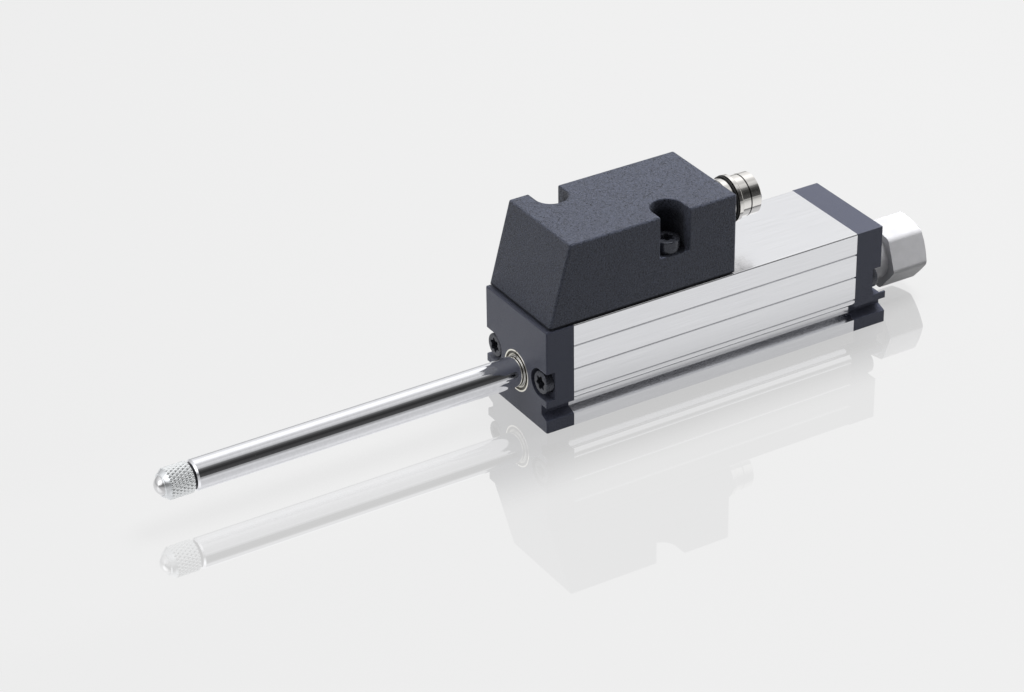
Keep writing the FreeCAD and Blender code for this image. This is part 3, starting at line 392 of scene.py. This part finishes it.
def cap_screws(node, facing):
    """The two screws of an end cap. facing is 1 where the shank points along +X."""
    low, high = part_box(node)
    side = high.y - CAP_HEAD_RADIUS * MM
    head_x = (low.x if facing > 0 else high.x) + facing * CAP_HEAD_HEIGHT * MM
    length = (high.x - low.x) / MM - CAP_HEAD_HEIGHT
    bm = bmesh.new()
    for y, degrees in zip((side, -side), CAP_TWISTS):
        place = Matrix.Translation(Vector((head_x, y, (low.z + high.z) / 2)))
        turn = Matrix.Rotation(0 if facing > 0 else math.pi, 4, "Z")
        twist = Matrix.Rotation(math.radians(degrees), 4, "X")
        add_screw(bm, place @ turn @ twist, CAP_HEAD_RADIUS, CAP_HEAD_HEIGHT, length)
    return finish_mesh(bm, node)


def hood_screw_pair(node):
    """The two hood screws, whose shanks point down."""
    low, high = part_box(node)
    reach = HOOD_HEAD_RADIUS * MM
    length = (high.z - low.z) / MM - HOOD_HEAD_HEIGHT
    bm = bmesh.new()
    places = ((low.x + reach, high.y - reach), (high.x - reach, low.y + reach))
    for (x, y), degrees in zip(places, HOOD_TWISTS):
        place = Matrix.Translation(Vector((x, y, high.z - HOOD_HEAD_HEIGHT * MM)))
        turn = Matrix.Rotation(math.pi / 2, 4, "Y")
        twist = Matrix.Rotation(math.radians(degrees), 4, "X")
        add_screw(bm, place @ turn @ twist, HOOD_HEAD_RADIUS, HOOD_HEAD_HEIGHT, length)
    return finish_mesh(bm, node)


# Shader nodes

# The sockets of a colour mix, which are found by number because several share a name.
MIX_SHARE = 0
MIX_FIRST = 6
MIX_SECOND = 7
MIX_RESULT = 2


def feed(tree, socket, value):
    """Gives a socket its value, which is a number, a colour or another socket."""
    if isinstance(value, bpy.types.NodeSocket):
        tree.links.new(value, socket)
    else:
        socket.default_value = value


def calculate(tree, operation, first, second):
    """One step of arithmetic with two values, each a number or a socket."""
    node = tree.nodes.new("ShaderNodeMath")
    node.operation = operation
    for socket, value in zip(node.inputs, (first, second)):
        feed(tree, socket, value)
    return node.outputs[0]


def map_range(tree, source, limits, results=(0.0, 1.0), smooth=False):
    """Maps a value from one range to another, in a straight line or with soft ends."""
    node = tree.nodes.new("ShaderNodeMapRange")
    if smooth:
        node.interpolation_type = "SMOOTHSTEP"
    for socket, value in zip(("From Min", "From Max", "To Min", "To Max"), (*limits, *results)):
        node.inputs[socket].default_value = value
    tree.links.new(source, node.inputs["Value"])
    return node.outputs["Result"]


def mix_colors(tree, share, first, second):
    node = tree.nodes.new("ShaderNodeMix")
    node.data_type = "RGBA"
    feed(tree, node.inputs[MIX_SHARE], share)
    feed(tree, node.inputs[MIX_FIRST], first)
    feed(tree, node.inputs[MIX_SECOND], second)
    return node.outputs[MIX_RESULT]


def mix_shaders(tree, share, first, second):
    node = tree.nodes.new("ShaderNodeMixShader")
    for socket, value in zip(node.inputs, (share, first, second)):
        feed(tree, socket, value)
    return node.outputs[0]


def color_ramp(tree, source, stops):
    """A colour ramp from (position, colour) stops."""
    node = tree.nodes.new("ShaderNodeValToRGB")
    points = node.color_ramp.elements
    while len(points) > 1:
        points.remove(points[-1])
    for index, (position, color) in enumerate(stops):
        point = points[0] if index == 0 else points.new(position)
        point.position = position
        point.color = color
    tree.links.new(source, node.inputs[0])
    return node


# Materials. Texture coordinates are in millimetres, in the part's own frame.


# Where most of a noise's values lie.
NOISE_LIMITS = (0.35, 0.65)


class Finish:
    """A material's nodes, with the few steps that the finishes share."""

    def __init__(self, name, color, metallic, roughness, **shader_values):
        self.material = bpy.data.materials.new(name)
        self.material.use_nodes = True
        self.tree = self.material.node_tree
        self.shader = self.tree.nodes["Principled BSDF"]
        self.shader.inputs["Base Color"].default_value = (*color, 1.0)
        self.shader.inputs["Metallic"].default_value = metallic
        self.shader.inputs["Roughness"].default_value = roughness
        for socket, value in shader_values.items():
            self.shader.inputs[socket.replace("_", " ")].default_value = value
        self.color = color

    def node(self, kind, **inputs):
        node = self.tree.nodes.new(kind)
        for socket, value in inputs.items():
            node.inputs[socket.replace("_", " ")].default_value = value
        return node

    def link(self, source, target):
        self.tree.links.new(source, target)

    def place(self, stretch=(1.0, 1.0, 1.0)):
        """The place on the part in millimetres, stretched by a factor on each axis."""
        where = self.node("ShaderNodeTexCoord")
        mapping = self.node("ShaderNodeMapping", Scale=tuple(share / MM for share in stretch))
        self.link(where.outputs["Object"], mapping.inputs["Vector"])
        return mapping.outputs["Vector"]

    def noise(self, size, detail=2.0, stretch=(1.0, 1.0, 1.0), rough=0.5):
        """Noise with features of about this size in millimetres."""
        texture = self.node("ShaderNodeTexNoise", Scale=1 / size, Detail=detail, Roughness=rough)
        self.link(self.place(stretch), texture.inputs["Vector"])
        return texture.outputs["Fac"]

    def spread(self, source, low, high, limits=NOISE_LIMITS):
        """Maps a value, which is a noise if no limits are given, to a range from low to high."""
        return map_range(self.tree, source, limits, (low, high))

    def shade(self, share):
        """A share of the base colour, no brighter than white."""
        return (*[min(part * share, 1) for part in self.color], 1.0)

    def tint(self, source, darker, lighter):
        """Colour between a darker and a lighter share of the base colour."""
        share = self.spread(source, 0, 1)
        color = mix_colors(self.tree, share, self.shade(darker), self.shade(lighter))
        self.link(color, self.shader.inputs["Base Color"])

    def along(self, axis):
        """The place along an axis, in millimetres."""
        axes = self.node("ShaderNodeSeparateXYZ")
        self.link(self.place(), axes.inputs[0])
        return axes.outputs[axis]

    def vector(self, operation, first, second=None):
        node = self.node("ShaderNodeVectorMath")
        node.operation = operation
        self.link(first, node.inputs[0])
        if second is not None:
            node.inputs[1].default_value = second
        return node

    def radius(self, middle, across_axes=(0, 1, 1)):
        """The distance in millimetres from an axis through this point, along X if nothing else is said."""
        offset = self.vector("SUBTRACT", self.place(), middle / MM)
        across = self.vector("MULTIPLY", offset.outputs[0], across_axes)
        return self.vector("LENGTH", across.outputs[0]).outputs["Value"]

    def painted_shade_ramp(self, source, stops):
        """Painted shade: shares of the base colour by place, from one (place, share) stop to the next."""
        first, last = stops[0][0], stops[-1][0]
        along = self.spread(source, 0, 1, (first, last))
        colors = [((place - first) / (last - first), self.shade(share)) for place, share in stops]
        self.link(color_ramp(self.tree, along, colors).outputs[0], self.shader.inputs["Base Color"])

    def paint_shade(self, share):
        """Painted shade: leaves this share of the colour and the shine, where little light gets in."""
        base = self.shader.inputs["Base Color"]
        color = mix_colors(self.tree, share, (0, 0, 0, 1), base.links[0].from_socket)
        self.link(color, base)
        shine = self.shader.inputs["Specular IOR Level"]
        self.link(calculate(self.tree, "MULTIPLY", share, shine.default_value), shine)

    def gloss(self, source, low, high):
        self.link(self.spread(source, low, high), self.shader.inputs["Roughness"])

    def bump(self, source, depth):
        """A raised and lowered surface, with its depth in millimetres. Each call adds to the last."""
        node = self.node("ShaderNodeBump", Strength=1.0, Distance=depth * MM)
        self.link(source, node.inputs["Height"])
        normal = self.shader.inputs["Normal"]
        if normal.is_linked:
            self.link(normal.links[0].from_socket, node.inputs["Normal"])
        self.link(node.outputs["Normal"], normal)


LENGTHWISE = (0.012, 1.0, 1.0)
ROUND_X = (1.0, 0.03, 0.03)

PLASTIC_IOR = 1.37
PLASTIC_TINT = (0.80, 0.85, 1.0, 1.0)
SHEEN_ROUGHNESS = 0.4
GLOSS_SWING = 0.13

# Painted shade in the hood's pockets and at its foot, in millimetres. A fade is a start and an end,
# counted from the pocket's radius, the pocket's floor, the hood's top or the hood's foot.
POCKET_RADIUS = 2.75
POCKET_FLOOR = 6.5
POCKET_PAINTED_SHADE = 0.8
POCKET_RIM_FADE = (0.02, 0.2)
POCKET_FLOOR_FADE = (-0.2, -0.05)
POCKET_DEPTH_FADE = (-2.2, -0.1)
FOOT_PAINTED_SHADE = 0.1
FOOT_FADE = (0.12, 0.34)

# Painted shade, as shares of the base colour: for the bush by the distance from the rod's axis, darkest
# in its dish, and for the knurl by the depth below its ridges, as a share of the knurl's whole depth.
BUSH_PAINTED_SHADE = ((2.4, 0.5), (2.76, 0.75), (2.82, 0.12), (3.22, 0.12), (3.27, 1.0), (3.6, 1.0))
KNURL_PAINTED_SHADE = ((1.0, 0.16), (0.5, 0.9), (0.0, 1.0))

# Lines of painted shade round the connector, as places in front of the connector's end.
SHELL_SHADE_LINES = ((-6.3, -6.15), (-3.8, -3.6), (-2.13, -1.93))
SHELL_REACH = (-14, 0.1)
LINE_PAINTED_SHADE = 0.12
GROOVE_EDGE = 0.04


def anodised_profile():
    finish = Finish("anodised_profile", (0.845, 0.85, 0.875), metallic=1.0, roughness=0.17)
    lines = finish.noise(0.12, 3.0, LENGTHWISE, 0.6)
    finish.tint(lines, 0.96, 1.04)
    finish.gloss(finish.noise(0.5, 2.0, LENGTHWISE), 0.14, 0.21)
    finish.bump(lines, 0.0028)
    finish.bump(finish.noise(0.08), 0.0015)
    return finish.material


def moulded_black(name, color, grain, depth, roughness, contrast=0.3, sheen=0.5):
    """Black plastic with a fine moulded grain."""
    finish = Finish(
        name, color, 0.0, roughness, IOR=PLASTIC_IOR, Specular_Tint=PLASTIC_TINT,
        Sheen_Weight=sheen, Sheen_Roughness=SHEEN_ROUGHNESS, Sheen_Tint=PLASTIC_TINT,
    )
    fine = finish.noise(grain, 4.0, rough=0.72)
    finish.tint(fine, 1 - contrast, 1 + contrast)
    finish.gloss(finish.noise(grain, 3.0, rough=0.7), roughness - GLOSS_SWING, roughness + GLOSS_SWING)
    finish.bump(fine, depth)
    return finish


def cap_black():
    color = (0.036, 0.039, 0.058)
    return moulded_black("cap_black", color, grain=0.2, depth=0.06, roughness=0.34, sheen=0.4).material


def fade_at(place, fade):
    """The start and the end of a fade that is counted from this place."""
    return [place + part for part in fade]


def pocket_painted_shade(finish, height, foot):
    """Painted shade: the share left down in the hood's two screw pockets, and 1 outside them."""
    low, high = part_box("hood_screws")
    reach = Vector((HOOD_HEAD_RADIUS, -HOOD_HEAD_RADIUS, 0)) * MM
    rims = []
    for centre in (Vector((low.x, high.y, 0)) + reach, Vector((high.x, low.y, 0)) - reach):
        distance = finish.radius(centre, (1, 1, 0))
        rims.append(finish.spread(distance, 1.0, 0.0, fade_at(POCKET_RADIUS, POCKET_RIM_FADE)))
    above = finish.spread(height, 0.0, 1.0, fade_at(foot + POCKET_FLOOR, POCKET_FLOOR_FADE))
    inside = calculate(finish.tree, "MULTIPLY", calculate(finish.tree, "MAXIMUM", *rims), above)
    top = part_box("connector_hood")[1].z / MM
    deep = finish.spread(height, POCKET_PAINTED_SHADE, 0.0, fade_at(top, POCKET_DEPTH_FADE))
    return calculate(finish.tree, "SUBTRACT", 1.0, calculate(finish.tree, "MULTIPLY", inside, deep))


def hood_plastic():
    """The hood's black plastic, with painted shade at its foot and down in its two screw pockets."""
    color = (0.038, 0.042, 0.058)
    look = {"grain": 0.24, "depth": 0.22, "roughness": 0.36, "contrast": 0.9, "sheen": 0.14}
    finish = moulded_black("hood_plastic", color, **look)
    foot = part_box("hood_gasket")[1].z / MM
    height = finish.along("Z")
    pockets = pocket_painted_shade(finish, height, foot)
    foot_shade = finish.spread(height, FOOT_PAINTED_SHADE, 1.0, fade_at(foot, FOOT_FADE))
    finish.paint_shade(calculate(finish.tree, "MULTIPLY", pockets, foot_shade))
    return finish.material


def insert_plastic():
    color = (0.03, 0.03, 0.032)
    return moulded_black("insert_plastic", color, grain=0.12, depth=0.006, roughness=0.45).material


def element_board():
    finish = Finish("element_board", (0.13, 0.12, 0.10), metallic=0.0, roughness=0.5)
    finish.tint(finish.noise(0.4, 3.0, (0.2, 1.0, 1.0)), 0.7, 1.3)
    finish.bump(finish.noise(0.15), 0.004)
    return finish.material


def board_green():
    finish = Finish("board_green", (0.03, 0.16, 0.07), metallic=0.0, roughness=0.38)
    finish.tint(finish.noise(1.1, 3.0), 0.75, 1.25)
    finish.bump(finish.noise(0.3), 0.01)
    return finish.material


def carriage_plastic():
    finish = Finish("carriage_plastic", (0.80, 0.79, 0.75), metallic=0.0, roughness=0.42)
    finish.tint(finish.noise(0.8), 0.94, 1.03)
    finish.bump(finish.noise(0.2), 0.004)
    return finish.material


def rubber(name, color, roughness):
    finish = Finish(name, color, 0.0, roughness)
    fine = finish.noise(0.1, 3.0)
    finish.tint(fine, 0.75, 1.25)
    finish.bump(fine, 0.006)
    return finish.material


def lead_wire():
    finish = Finish("lead_wire", (0.30, 0.02, 0.015), metallic=0.0, roughness=0.42)
    finish.tint(finish.noise(0.6), 0.85, 1.1)
    finish.bump(finish.noise(0.15), 0.003)
    return finish.material


def black_screw():
    finish = Finish("black_screw", (0.05, 0.053, 0.065), metallic=0.6, roughness=0.28)
    finish.tint(finish.noise(0.25, 3.0), 0.75, 1.35)
    finish.gloss(finish.noise(0.3), 0.2, 0.34)
    finish.bump(finish.noise(0.07), 0.004)
    return finish.material


def turned_rings(finish):
    """Noise in fine rings about the X axis, as turning leaves them."""
    return finish.noise(0.05, 2.0, ROUND_X)


def turned_metal(name, color, roughness, spread, depth):
    """Metal with fine turned rings about the X axis."""
    finish = Finish(name, color, 1.0, roughness)
    rings = turned_rings(finish)
    finish.tint(finish.noise(0.6), 0.97, 1.02)
    finish.gloss(rings, roughness - spread, roughness + spread)
    finish.bump(rings, depth)
    return finish.material


def polished_rod():
    return turned_metal("polished_rod", (0.9, 0.905, 0.94), roughness=0.07, spread=0.02, depth=0.0004)


def knurled_steel():
    """Steel with painted shade in the pits of the knurl."""
    finish = Finish("knurled_steel", (0.97, 0.99, 1.0), metallic=1.0, roughness=0.36)
    low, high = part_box("tip_sleeve")
    outer = (high.z - low.z) / 2 / MM
    stops = [(outer - KNURL_DEPTH * depth, share) for depth, share in KNURL_PAINTED_SHADE]
    finish.painted_shade_ramp(finish.radius((low + high) / 2), stops)
    finish.gloss(finish.noise(0.15), 0.3, 0.44)
    finish.bump(finish.noise(0.06), 0.003)
    return finish.material


def neck_painted_shade():
    """Painted shade on the turned neck behind the knurl, near black in place of the gap's shade."""
    finish = Finish("neck_painted_shade", (0.05, 0.05, 0.055), metallic=0.6, roughness=0.4)
    finish.tint(finish.noise(0.3), 0.7, 1.3)
    return finish.material


def tip_steel():
    return turned_metal("tip_steel", (0.80, 0.82, 0.84), roughness=0.2, spread=0.05, depth=0.001)


def ball_steel():
    finish = Finish("ball_steel", (0.74, 0.74, 0.75), metallic=1.0, roughness=0.07)
    finish.tint(finish.noise(0.7), 0.97, 1.03)
    finish.gloss(finish.noise(0.2), 0.05, 0.1)
    return finish.material


def bush_metal():
    """A pale bush with painted shade, darkest in its dish between the rim and the lip."""
    finish = Finish("bush_metal", (0.84, 0.82, 0.74), metallic=1.0, roughness=0.22)
    low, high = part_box("rod_bush")
    finish.painted_shade_ramp(finish.radius((low + high) / 2), BUSH_PAINTED_SHADE)
    finish.bump(turned_rings(finish), 0.001)
    return finish.material


def nickel_shell():
    """Bright nickel, with lines of painted shade round it."""
    finish = Finish("nickel_shell", (0.91, 0.89, 0.86), metallic=1.0, roughness=0.07)
    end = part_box("connector_shell")[1].x / MM
    start, front = (end + place for place in SHELL_REACH)
    stops = [(start, 1.0)]
    for low, high in SHELL_SHADE_LINES:
        stops += [(end + low - GROOVE_EDGE, 1.0), (end + low, LINE_PAINTED_SHADE)]
        stops += [(end + high, LINE_PAINTED_SHADE), (end + high + GROOVE_EDGE, 1.0)]
    finish.painted_shade_ramp(finish.along("X"), stops + [(front, 1.0)])
    rings = turned_rings(finish)
    finish.gloss(rings, 0.05, 0.1)
    finish.bump(rings, 0.001)
    return finish.material


def spring_steel():
    return turned_metal("spring_steel", (0.60, 0.60, 0.62), roughness=0.28, spread=0.06, depth=0.001)


def guide_steel():
    return turned_metal("guide_steel", (0.66, 0.66, 0.68), roughness=0.22, spread=0.05, depth=0.001)


def contact_metal():
    finish = Finish("contact_metal", (0.85, 0.72, 0.42), metallic=1.0, roughness=0.22)
    finish.tint(finish.noise(0.5), 0.93, 1.05)
    finish.bump(finish.noise(0.08, 2.0, LENGTHWISE), 0.001)
    return finish.material


def pin_gold():
    return turned_metal("pin_gold", (0.88, 0.68, 0.32), roughness=0.18, spread=0.05, depth=0.001)


def plug_grey():
    finish = Finish("plug_grey", (0.42, 0.42, 0.435), metallic=0.0, roughness=0.5)
    finish.tint(finish.noise(1.5), 0.96, 1.04)
    finish.gloss(finish.noise(0.5), 0.44, 0.56)
    finish.bump(finish.noise(0.25, 3.0), 0.004)
    return finish.material


# Floor, light and camera. Lengths are in metres here.

FLOOR_SIZE = 6.0
FLOOR_COLOR = (0.855, 0.855, 0.86)
FLOOR_LEVEL = 0.88

# The dull sheet: its grey for rays that light other things, its grey where it is seen, and the share
# of its own glow where it is seen.
FLOOR_BASE = 0.16
FLOOR_BRIGHT = 0.32
FLOOR_SHARE = 0.86

# The mirror on the sheet: how bright the sky in it is, its share under the object and away from it,
# and the distances from the object's axis between which the share falls. The Fresnel share in the
# photograph's view is taken off, so that in that view the mirror has these shares.
MIRROR_LEVEL = 0.9
MIRROR_SHARES = (0.30, 0.09)
MIRROR_REACH = (0.012, 0.026)
FLOOR_FRESNEL = 0.081
FLOOR_IOR = 1.45
FLOOR_ROUGHNESS = 0.01

# A soft lamp, above the object and to its right.
LAMP_PLACE = (0.2, 0.05, 0.46)
LAMP_SIZE = 0.25
LAMP_POWER = 4.8

# The sky's brightness by the angle round the X axis, in degrees, from the near horizon (0) over the
# top (90) to the far one (180): one row each for the left, the middle and the right.
HALF_TURN = 180
LEFT_SKY = (
    (0, 0.5), (10, 0.3), (30, 0.2), (50, 0.3), (70, 0.7), (100, 1.1), (130, 1.0), (150, 0.75),
    (165, 0.6), (180, 0.5),
)
MIDDLE_SKY = (
    (0, 0.40), (5, 0.07), (20, 0.055), (33, 0.03), (45, 0.05), (57, 0.14), (69, 0.58), (81, 0.71),
    (93, 0.61), (103, 0.75), (113, 1.1), (128, 1.2), (143, 0.90), (152, 0.88), (162, 0.84),
    (168, 0.74), (174, 0.5), (180, 0.38),
)
RIGHT_SKY = ((0, 0.8), (60, 0.84), (120, 0.84), (180, 0.8))

# Where one row gives way to the next, as the X part of the direction.
LEFT_TO_MIDDLE = (-0.25, 0.3)
MIDDLE_TO_RIGHT = (0.56, 0.64)

# The brightest level in the rows. The ramps hold shares of it.
SKY_STRENGTH = 1.2

# A soft round light in the sky on the left, which makes the ball's highlight.
GLOW_DIRECTION = (-0.806, -0.08, 0.585)
GLOW_REACH = (0.86, 0.985)
GLOW_STRENGTH = 0.75


def mirror_share(tree):
    """The share of the floor that is a mirror: larger under the object than away from its axis."""
    where = tree.nodes.new("ShaderNodeTexCoord")
    axes = tree.nodes.new("ShaderNodeSeparateXYZ")
    tree.links.new(where.outputs["Object"], axes.inputs[0])
    away = calculate(tree, "ABSOLUTE", axes.outputs["Y"], 0.0)
    return map_range(tree, away, MIRROR_REACH, MIRROR_SHARES, smooth=True)


def plain_diffuse(tree, level):
    node = tree.nodes.new("ShaderNodeBsdfDiffuse")
    node.inputs["Color"].default_value = (level, level, level, 1)
    return node.outputs[0]


def sheet_shader(tree, steady):
    """The floor's own colour, less what its mirror adds, so that the bare floor looks even.

    Where the floor is seen or mirrored, most of its brightness doesn't depend on the light, so that
    the object's shadow stays faint. For all other rays it is a plain dull sheet.
    """
    mirrored = calculate(tree, "MULTIPLY", steady, MIRROR_LEVEL)
    rest = calculate(tree, "SUBTRACT", FLOOR_LEVEL, mirrored)
    glow = tree.nodes.new("ShaderNodeEmission")
    level = calculate(tree, "DIVIDE", rest, calculate(tree, "SUBTRACT", 1.0, steady))
    tree.links.new(level, glow.inputs["Strength"])
    sheet = mix_shaders(tree, FLOOR_SHARE, plain_diffuse(tree, FLOOR_BRIGHT), glow.outputs[0])
    path = tree.nodes.new("ShaderNodeLightPath")
    seen = calculate(tree, "MAXIMUM", path.outputs["Is Camera Ray"], path.outputs["Is Glossy Ray"])
    return mix_shaders(tree, seen, plain_diffuse(tree, FLOOR_BASE), sheet)


def floor_material():
    """A pale glossy sheet, whose mirror image of the object fades away on both sides of it."""
    finish = bpy.data.materials.new("floor")
    finish.use_nodes = True
    tree = finish.node_tree
    tree.nodes.clear()
    steady = mirror_share(tree)
    base = sheet_shader(tree, steady)
    fresnel = tree.nodes.new("ShaderNodeFresnel")
    fresnel.inputs["IOR"].default_value = FLOOR_IOR
    sheen = calculate(tree, "ADD", calculate(tree, "SUBTRACT", steady, FLOOR_FRESNEL), fresnel.outputs[0])
    mirror = tree.nodes.new("ShaderNodeBsdfGlossy")
    mirror.inputs["Roughness"].default_value = FLOOR_ROUGHNESS
    mirror.inputs["Color"].default_value = (1, 1, 1, 1)
    output = tree.nodes.new("ShaderNodeOutputMaterial")
    tree.links.new(mix_shaders(tree, sheen, base, mirror.outputs[0]), output.inputs["Surface"])
    return finish


def add_floor():
    mesh = bpy.data.meshes.new("floor")
    half = FLOOR_SIZE / 2
    level = CAD_BOX[0].z
    corners = [(-half, -half), (half, -half), (half, half), (-half, half)]
    mesh.from_pydata([(x, y, level) for x, y in corners], [], [(0, 1, 2, 3)])
    mesh.materials.append(floor_material())
    floor = bpy.data.objects.new("floor", mesh)
    bpy.context.scene.collection.objects.link(floor)


def sky_ramp(tree, turn, row):
    """A row of the sky's brightness over the angle round the X axis."""
    stops = []
    for angle, level in row:
        share = level / SKY_STRENGTH
        stops.append((angle / HALF_TURN, (share, share, share, 1)))
    ramp = color_ramp(tree, turn, stops)
    ramp.color_ramp.interpolation = "EASE"
    return ramp.outputs[0]


def sky_level(tree, direction):
    """The sky's brightness by direction, from its rows on the left, in the middle and on the right."""
    axes = tree.nodes.new("ShaderNodeSeparateXYZ")
    tree.links.new(direction, axes.inputs[0])
    near = calculate(tree, "MULTIPLY", axes.outputs["Y"], -1.0)
    angle = calculate(tree, "ARCTAN2", axes.outputs["Z"], near)
    turn = calculate(tree, "DIVIDE", angle, math.pi)
    left, middle, right = (sky_ramp(tree, turn, row) for row in (LEFT_SKY, MIDDLE_SKY, RIGHT_SKY))
    past_left = map_range(tree, axes.outputs["X"], LEFT_TO_MIDDLE, smooth=True)
    past_middle = map_range(tree, axes.outputs["X"], MIDDLE_TO_RIGHT, smooth=True)
    color = mix_colors(tree, past_middle, mix_colors(tree, past_left, left, middle), right)
    return calculate(tree, "MULTIPLY", color, SKY_STRENGTH)


def sky_glow(tree, direction):
    """The soft round light in the sky."""
    towards = tree.nodes.new("ShaderNodeVectorMath")
    towards.operation = "DOT_PRODUCT"
    towards.inputs[1].default_value = GLOW_DIRECTION
    tree.links.new(direction, towards.inputs[0])
    return map_range(tree, towards.outputs["Value"], GLOW_REACH, (0.0, GLOW_STRENGTH), smooth=True)


def add_world():
    """A soft studio: bright over and behind the object, with a dark stretch on the near side."""
    world = bpy.data.worlds.new("studio")
    bpy.context.scene.world = world
    world.use_nodes = True
    tree = world.node_tree
    tree.nodes.clear()
    direction = tree.nodes.new("ShaderNodeTexCoord").outputs["Generated"]
    light = tree.nodes.new("ShaderNodeBackground")
    light.inputs["Color"].default_value = (1, 1, 1, 1)
    level = calculate(tree, "ADD", sky_level(tree, direction), sky_glow(tree, direction))
    tree.links.new(level, light.inputs["Strength"])
    plain = tree.nodes.new("ShaderNodeBackground")
    plain.inputs["Color"].default_value = (*FLOOR_COLOR, 1)
    path = tree.nodes.new("ShaderNodeLightPath")
    sky = mix_shaders(tree, path.outputs["Is Camera Ray"], light.outputs[0], plain.outputs[0])
    output = tree.nodes.new("ShaderNodeOutputWorld")
    tree.links.new(sky, output.inputs["Surface"])


def add_lamp():
    """A soft lamp, which lights matt surfaces. Metal mirrors the sky alone."""
    data = bpy.data.lights.new("top_lamp", "AREA")
    data.size = LAMP_SIZE
    data.energy = LAMP_POWER
    lamp = bpy.data.objects.new("top_lamp", data)
    lamp.location = LAMP_PLACE
    lamp.rotation_euler = Vector(LAMP_PLACE).to_track_quat("Z", "Y").to_euler()
    lamp.visible_glossy = False
    bpy.context.scene.collection.objects.link(lamp)


def add_camera():
    data = bpy.data.cameras.new("camera")
    data.lens = CAMERA_LENS
    data.sensor_width = CAMERA_SENSOR
    data.clip_start = CAMERA_CLIP * MM
    camera = bpy.data.objects.new("camera", data)
    angles = (CAMERA_AZIMUTH, CAMERA_ELEVATION, CAMERA_ROLL)
    turn, lift, roll = (math.radians(angle) for angle in angles)
    back = Vector((math.sin(turn) * math.cos(lift), -math.cos(turn) * math.cos(lift), math.sin(lift)))
    right = (-back).cross(Vector((0, 0, 1))).normalized()
    up = right.cross(-back)
    across = right * math.cos(roll) + up * math.sin(roll)
    above = up * math.cos(roll) - right * math.sin(roll)
    aim = Matrix((across, above, back)).transposed().to_4x4()
    camera.matrix_world = Matrix.Translation(Vector(CAMERA_PLACE) * MM) @ aim
    bpy.context.scene.collection.objects.link(camera)
    bpy.context.scene.camera = camera


# The dressed part

MATERIALS = {
    "anodised_profile": anodised_profile(),
    "cap_black": cap_black(),
    "hood_plastic": hood_plastic(),
    "black_screw": black_screw(),
    "bush_metal": bush_metal(),
    "polished_rod": polished_rod(),
    "spring_steel": spring_steel(),
    "knurled_steel": knurled_steel(),
    "ball_steel": ball_steel(),
    "guide_steel": guide_steel(),
    "plug_grey": plug_grey(),
    "carriage_plastic": carriage_plastic(),
    "contact_metal": contact_metal(),
    "element_board": element_board(),
    "board_green": board_green(),
    "lead_wire": lead_wire(),
    "nickel_shell": nickel_shell(),
    "insert_plastic": insert_plastic(),
    "pin_gold": pin_gold(),
    "soft_rubber": rubber("soft_rubber", (0.008, 0.008, 0.009), 0.7),
    "seal_rubber": rubber("seal_rubber", (0.006, 0.006, 0.006), 0.4),
}


def dress_nodes():
    """Gives each CAD node the material of its slot."""
    for entry in frame["record"]["subparts"]:
        for holder in frame["nodes"][entry["node"]].material_slots:
            holder.material = MATERIALS[entry["material_slot"]]


def add_tip():
    steel = MATERIALS["knurled_steel"]
    tip = new_piece("tip_sleeve_knurled", knurled_sleeve(), "tip_sleeve", steel, KNURL_SHARP)
    # The neck's slot holds painted shade.
    tip.data.materials.append(neck_painted_shade())
    tip.data.materials.append(tip_steel())


def add_screws():
    black = MATERIALS["black_screw"]
    new_piece("front_screws", cap_screws("front_cap_screws", 1), "front_cap_screws", black)
    new_piece("rear_screws", cap_screws("rear_cap_screws", -1), "rear_cap_screws", black)
    new_piece("hood_screw_pair", hood_screw_pair("hood_screws"), "hood_screws", black)


def add_seal():
    new_piece("connector_ring", seal_ring(), "connector_seal", MATERIALS["seal_rubber"])


def add_spring():
    """The spring, on the return spring's body, with a mesh of its own."""
    spring = new_piece("coiled_spring", coiled_spring(), "return_spring", MATERIALS["spring_steel"])
    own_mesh(spring)


dress_nodes()
add_tip()
add_screws()
add_seal()
add_spring()
add_floor()
add_world()
add_lamp()
add_camera()
bpy.context.scene.view_settings.view_transform = "Standard"
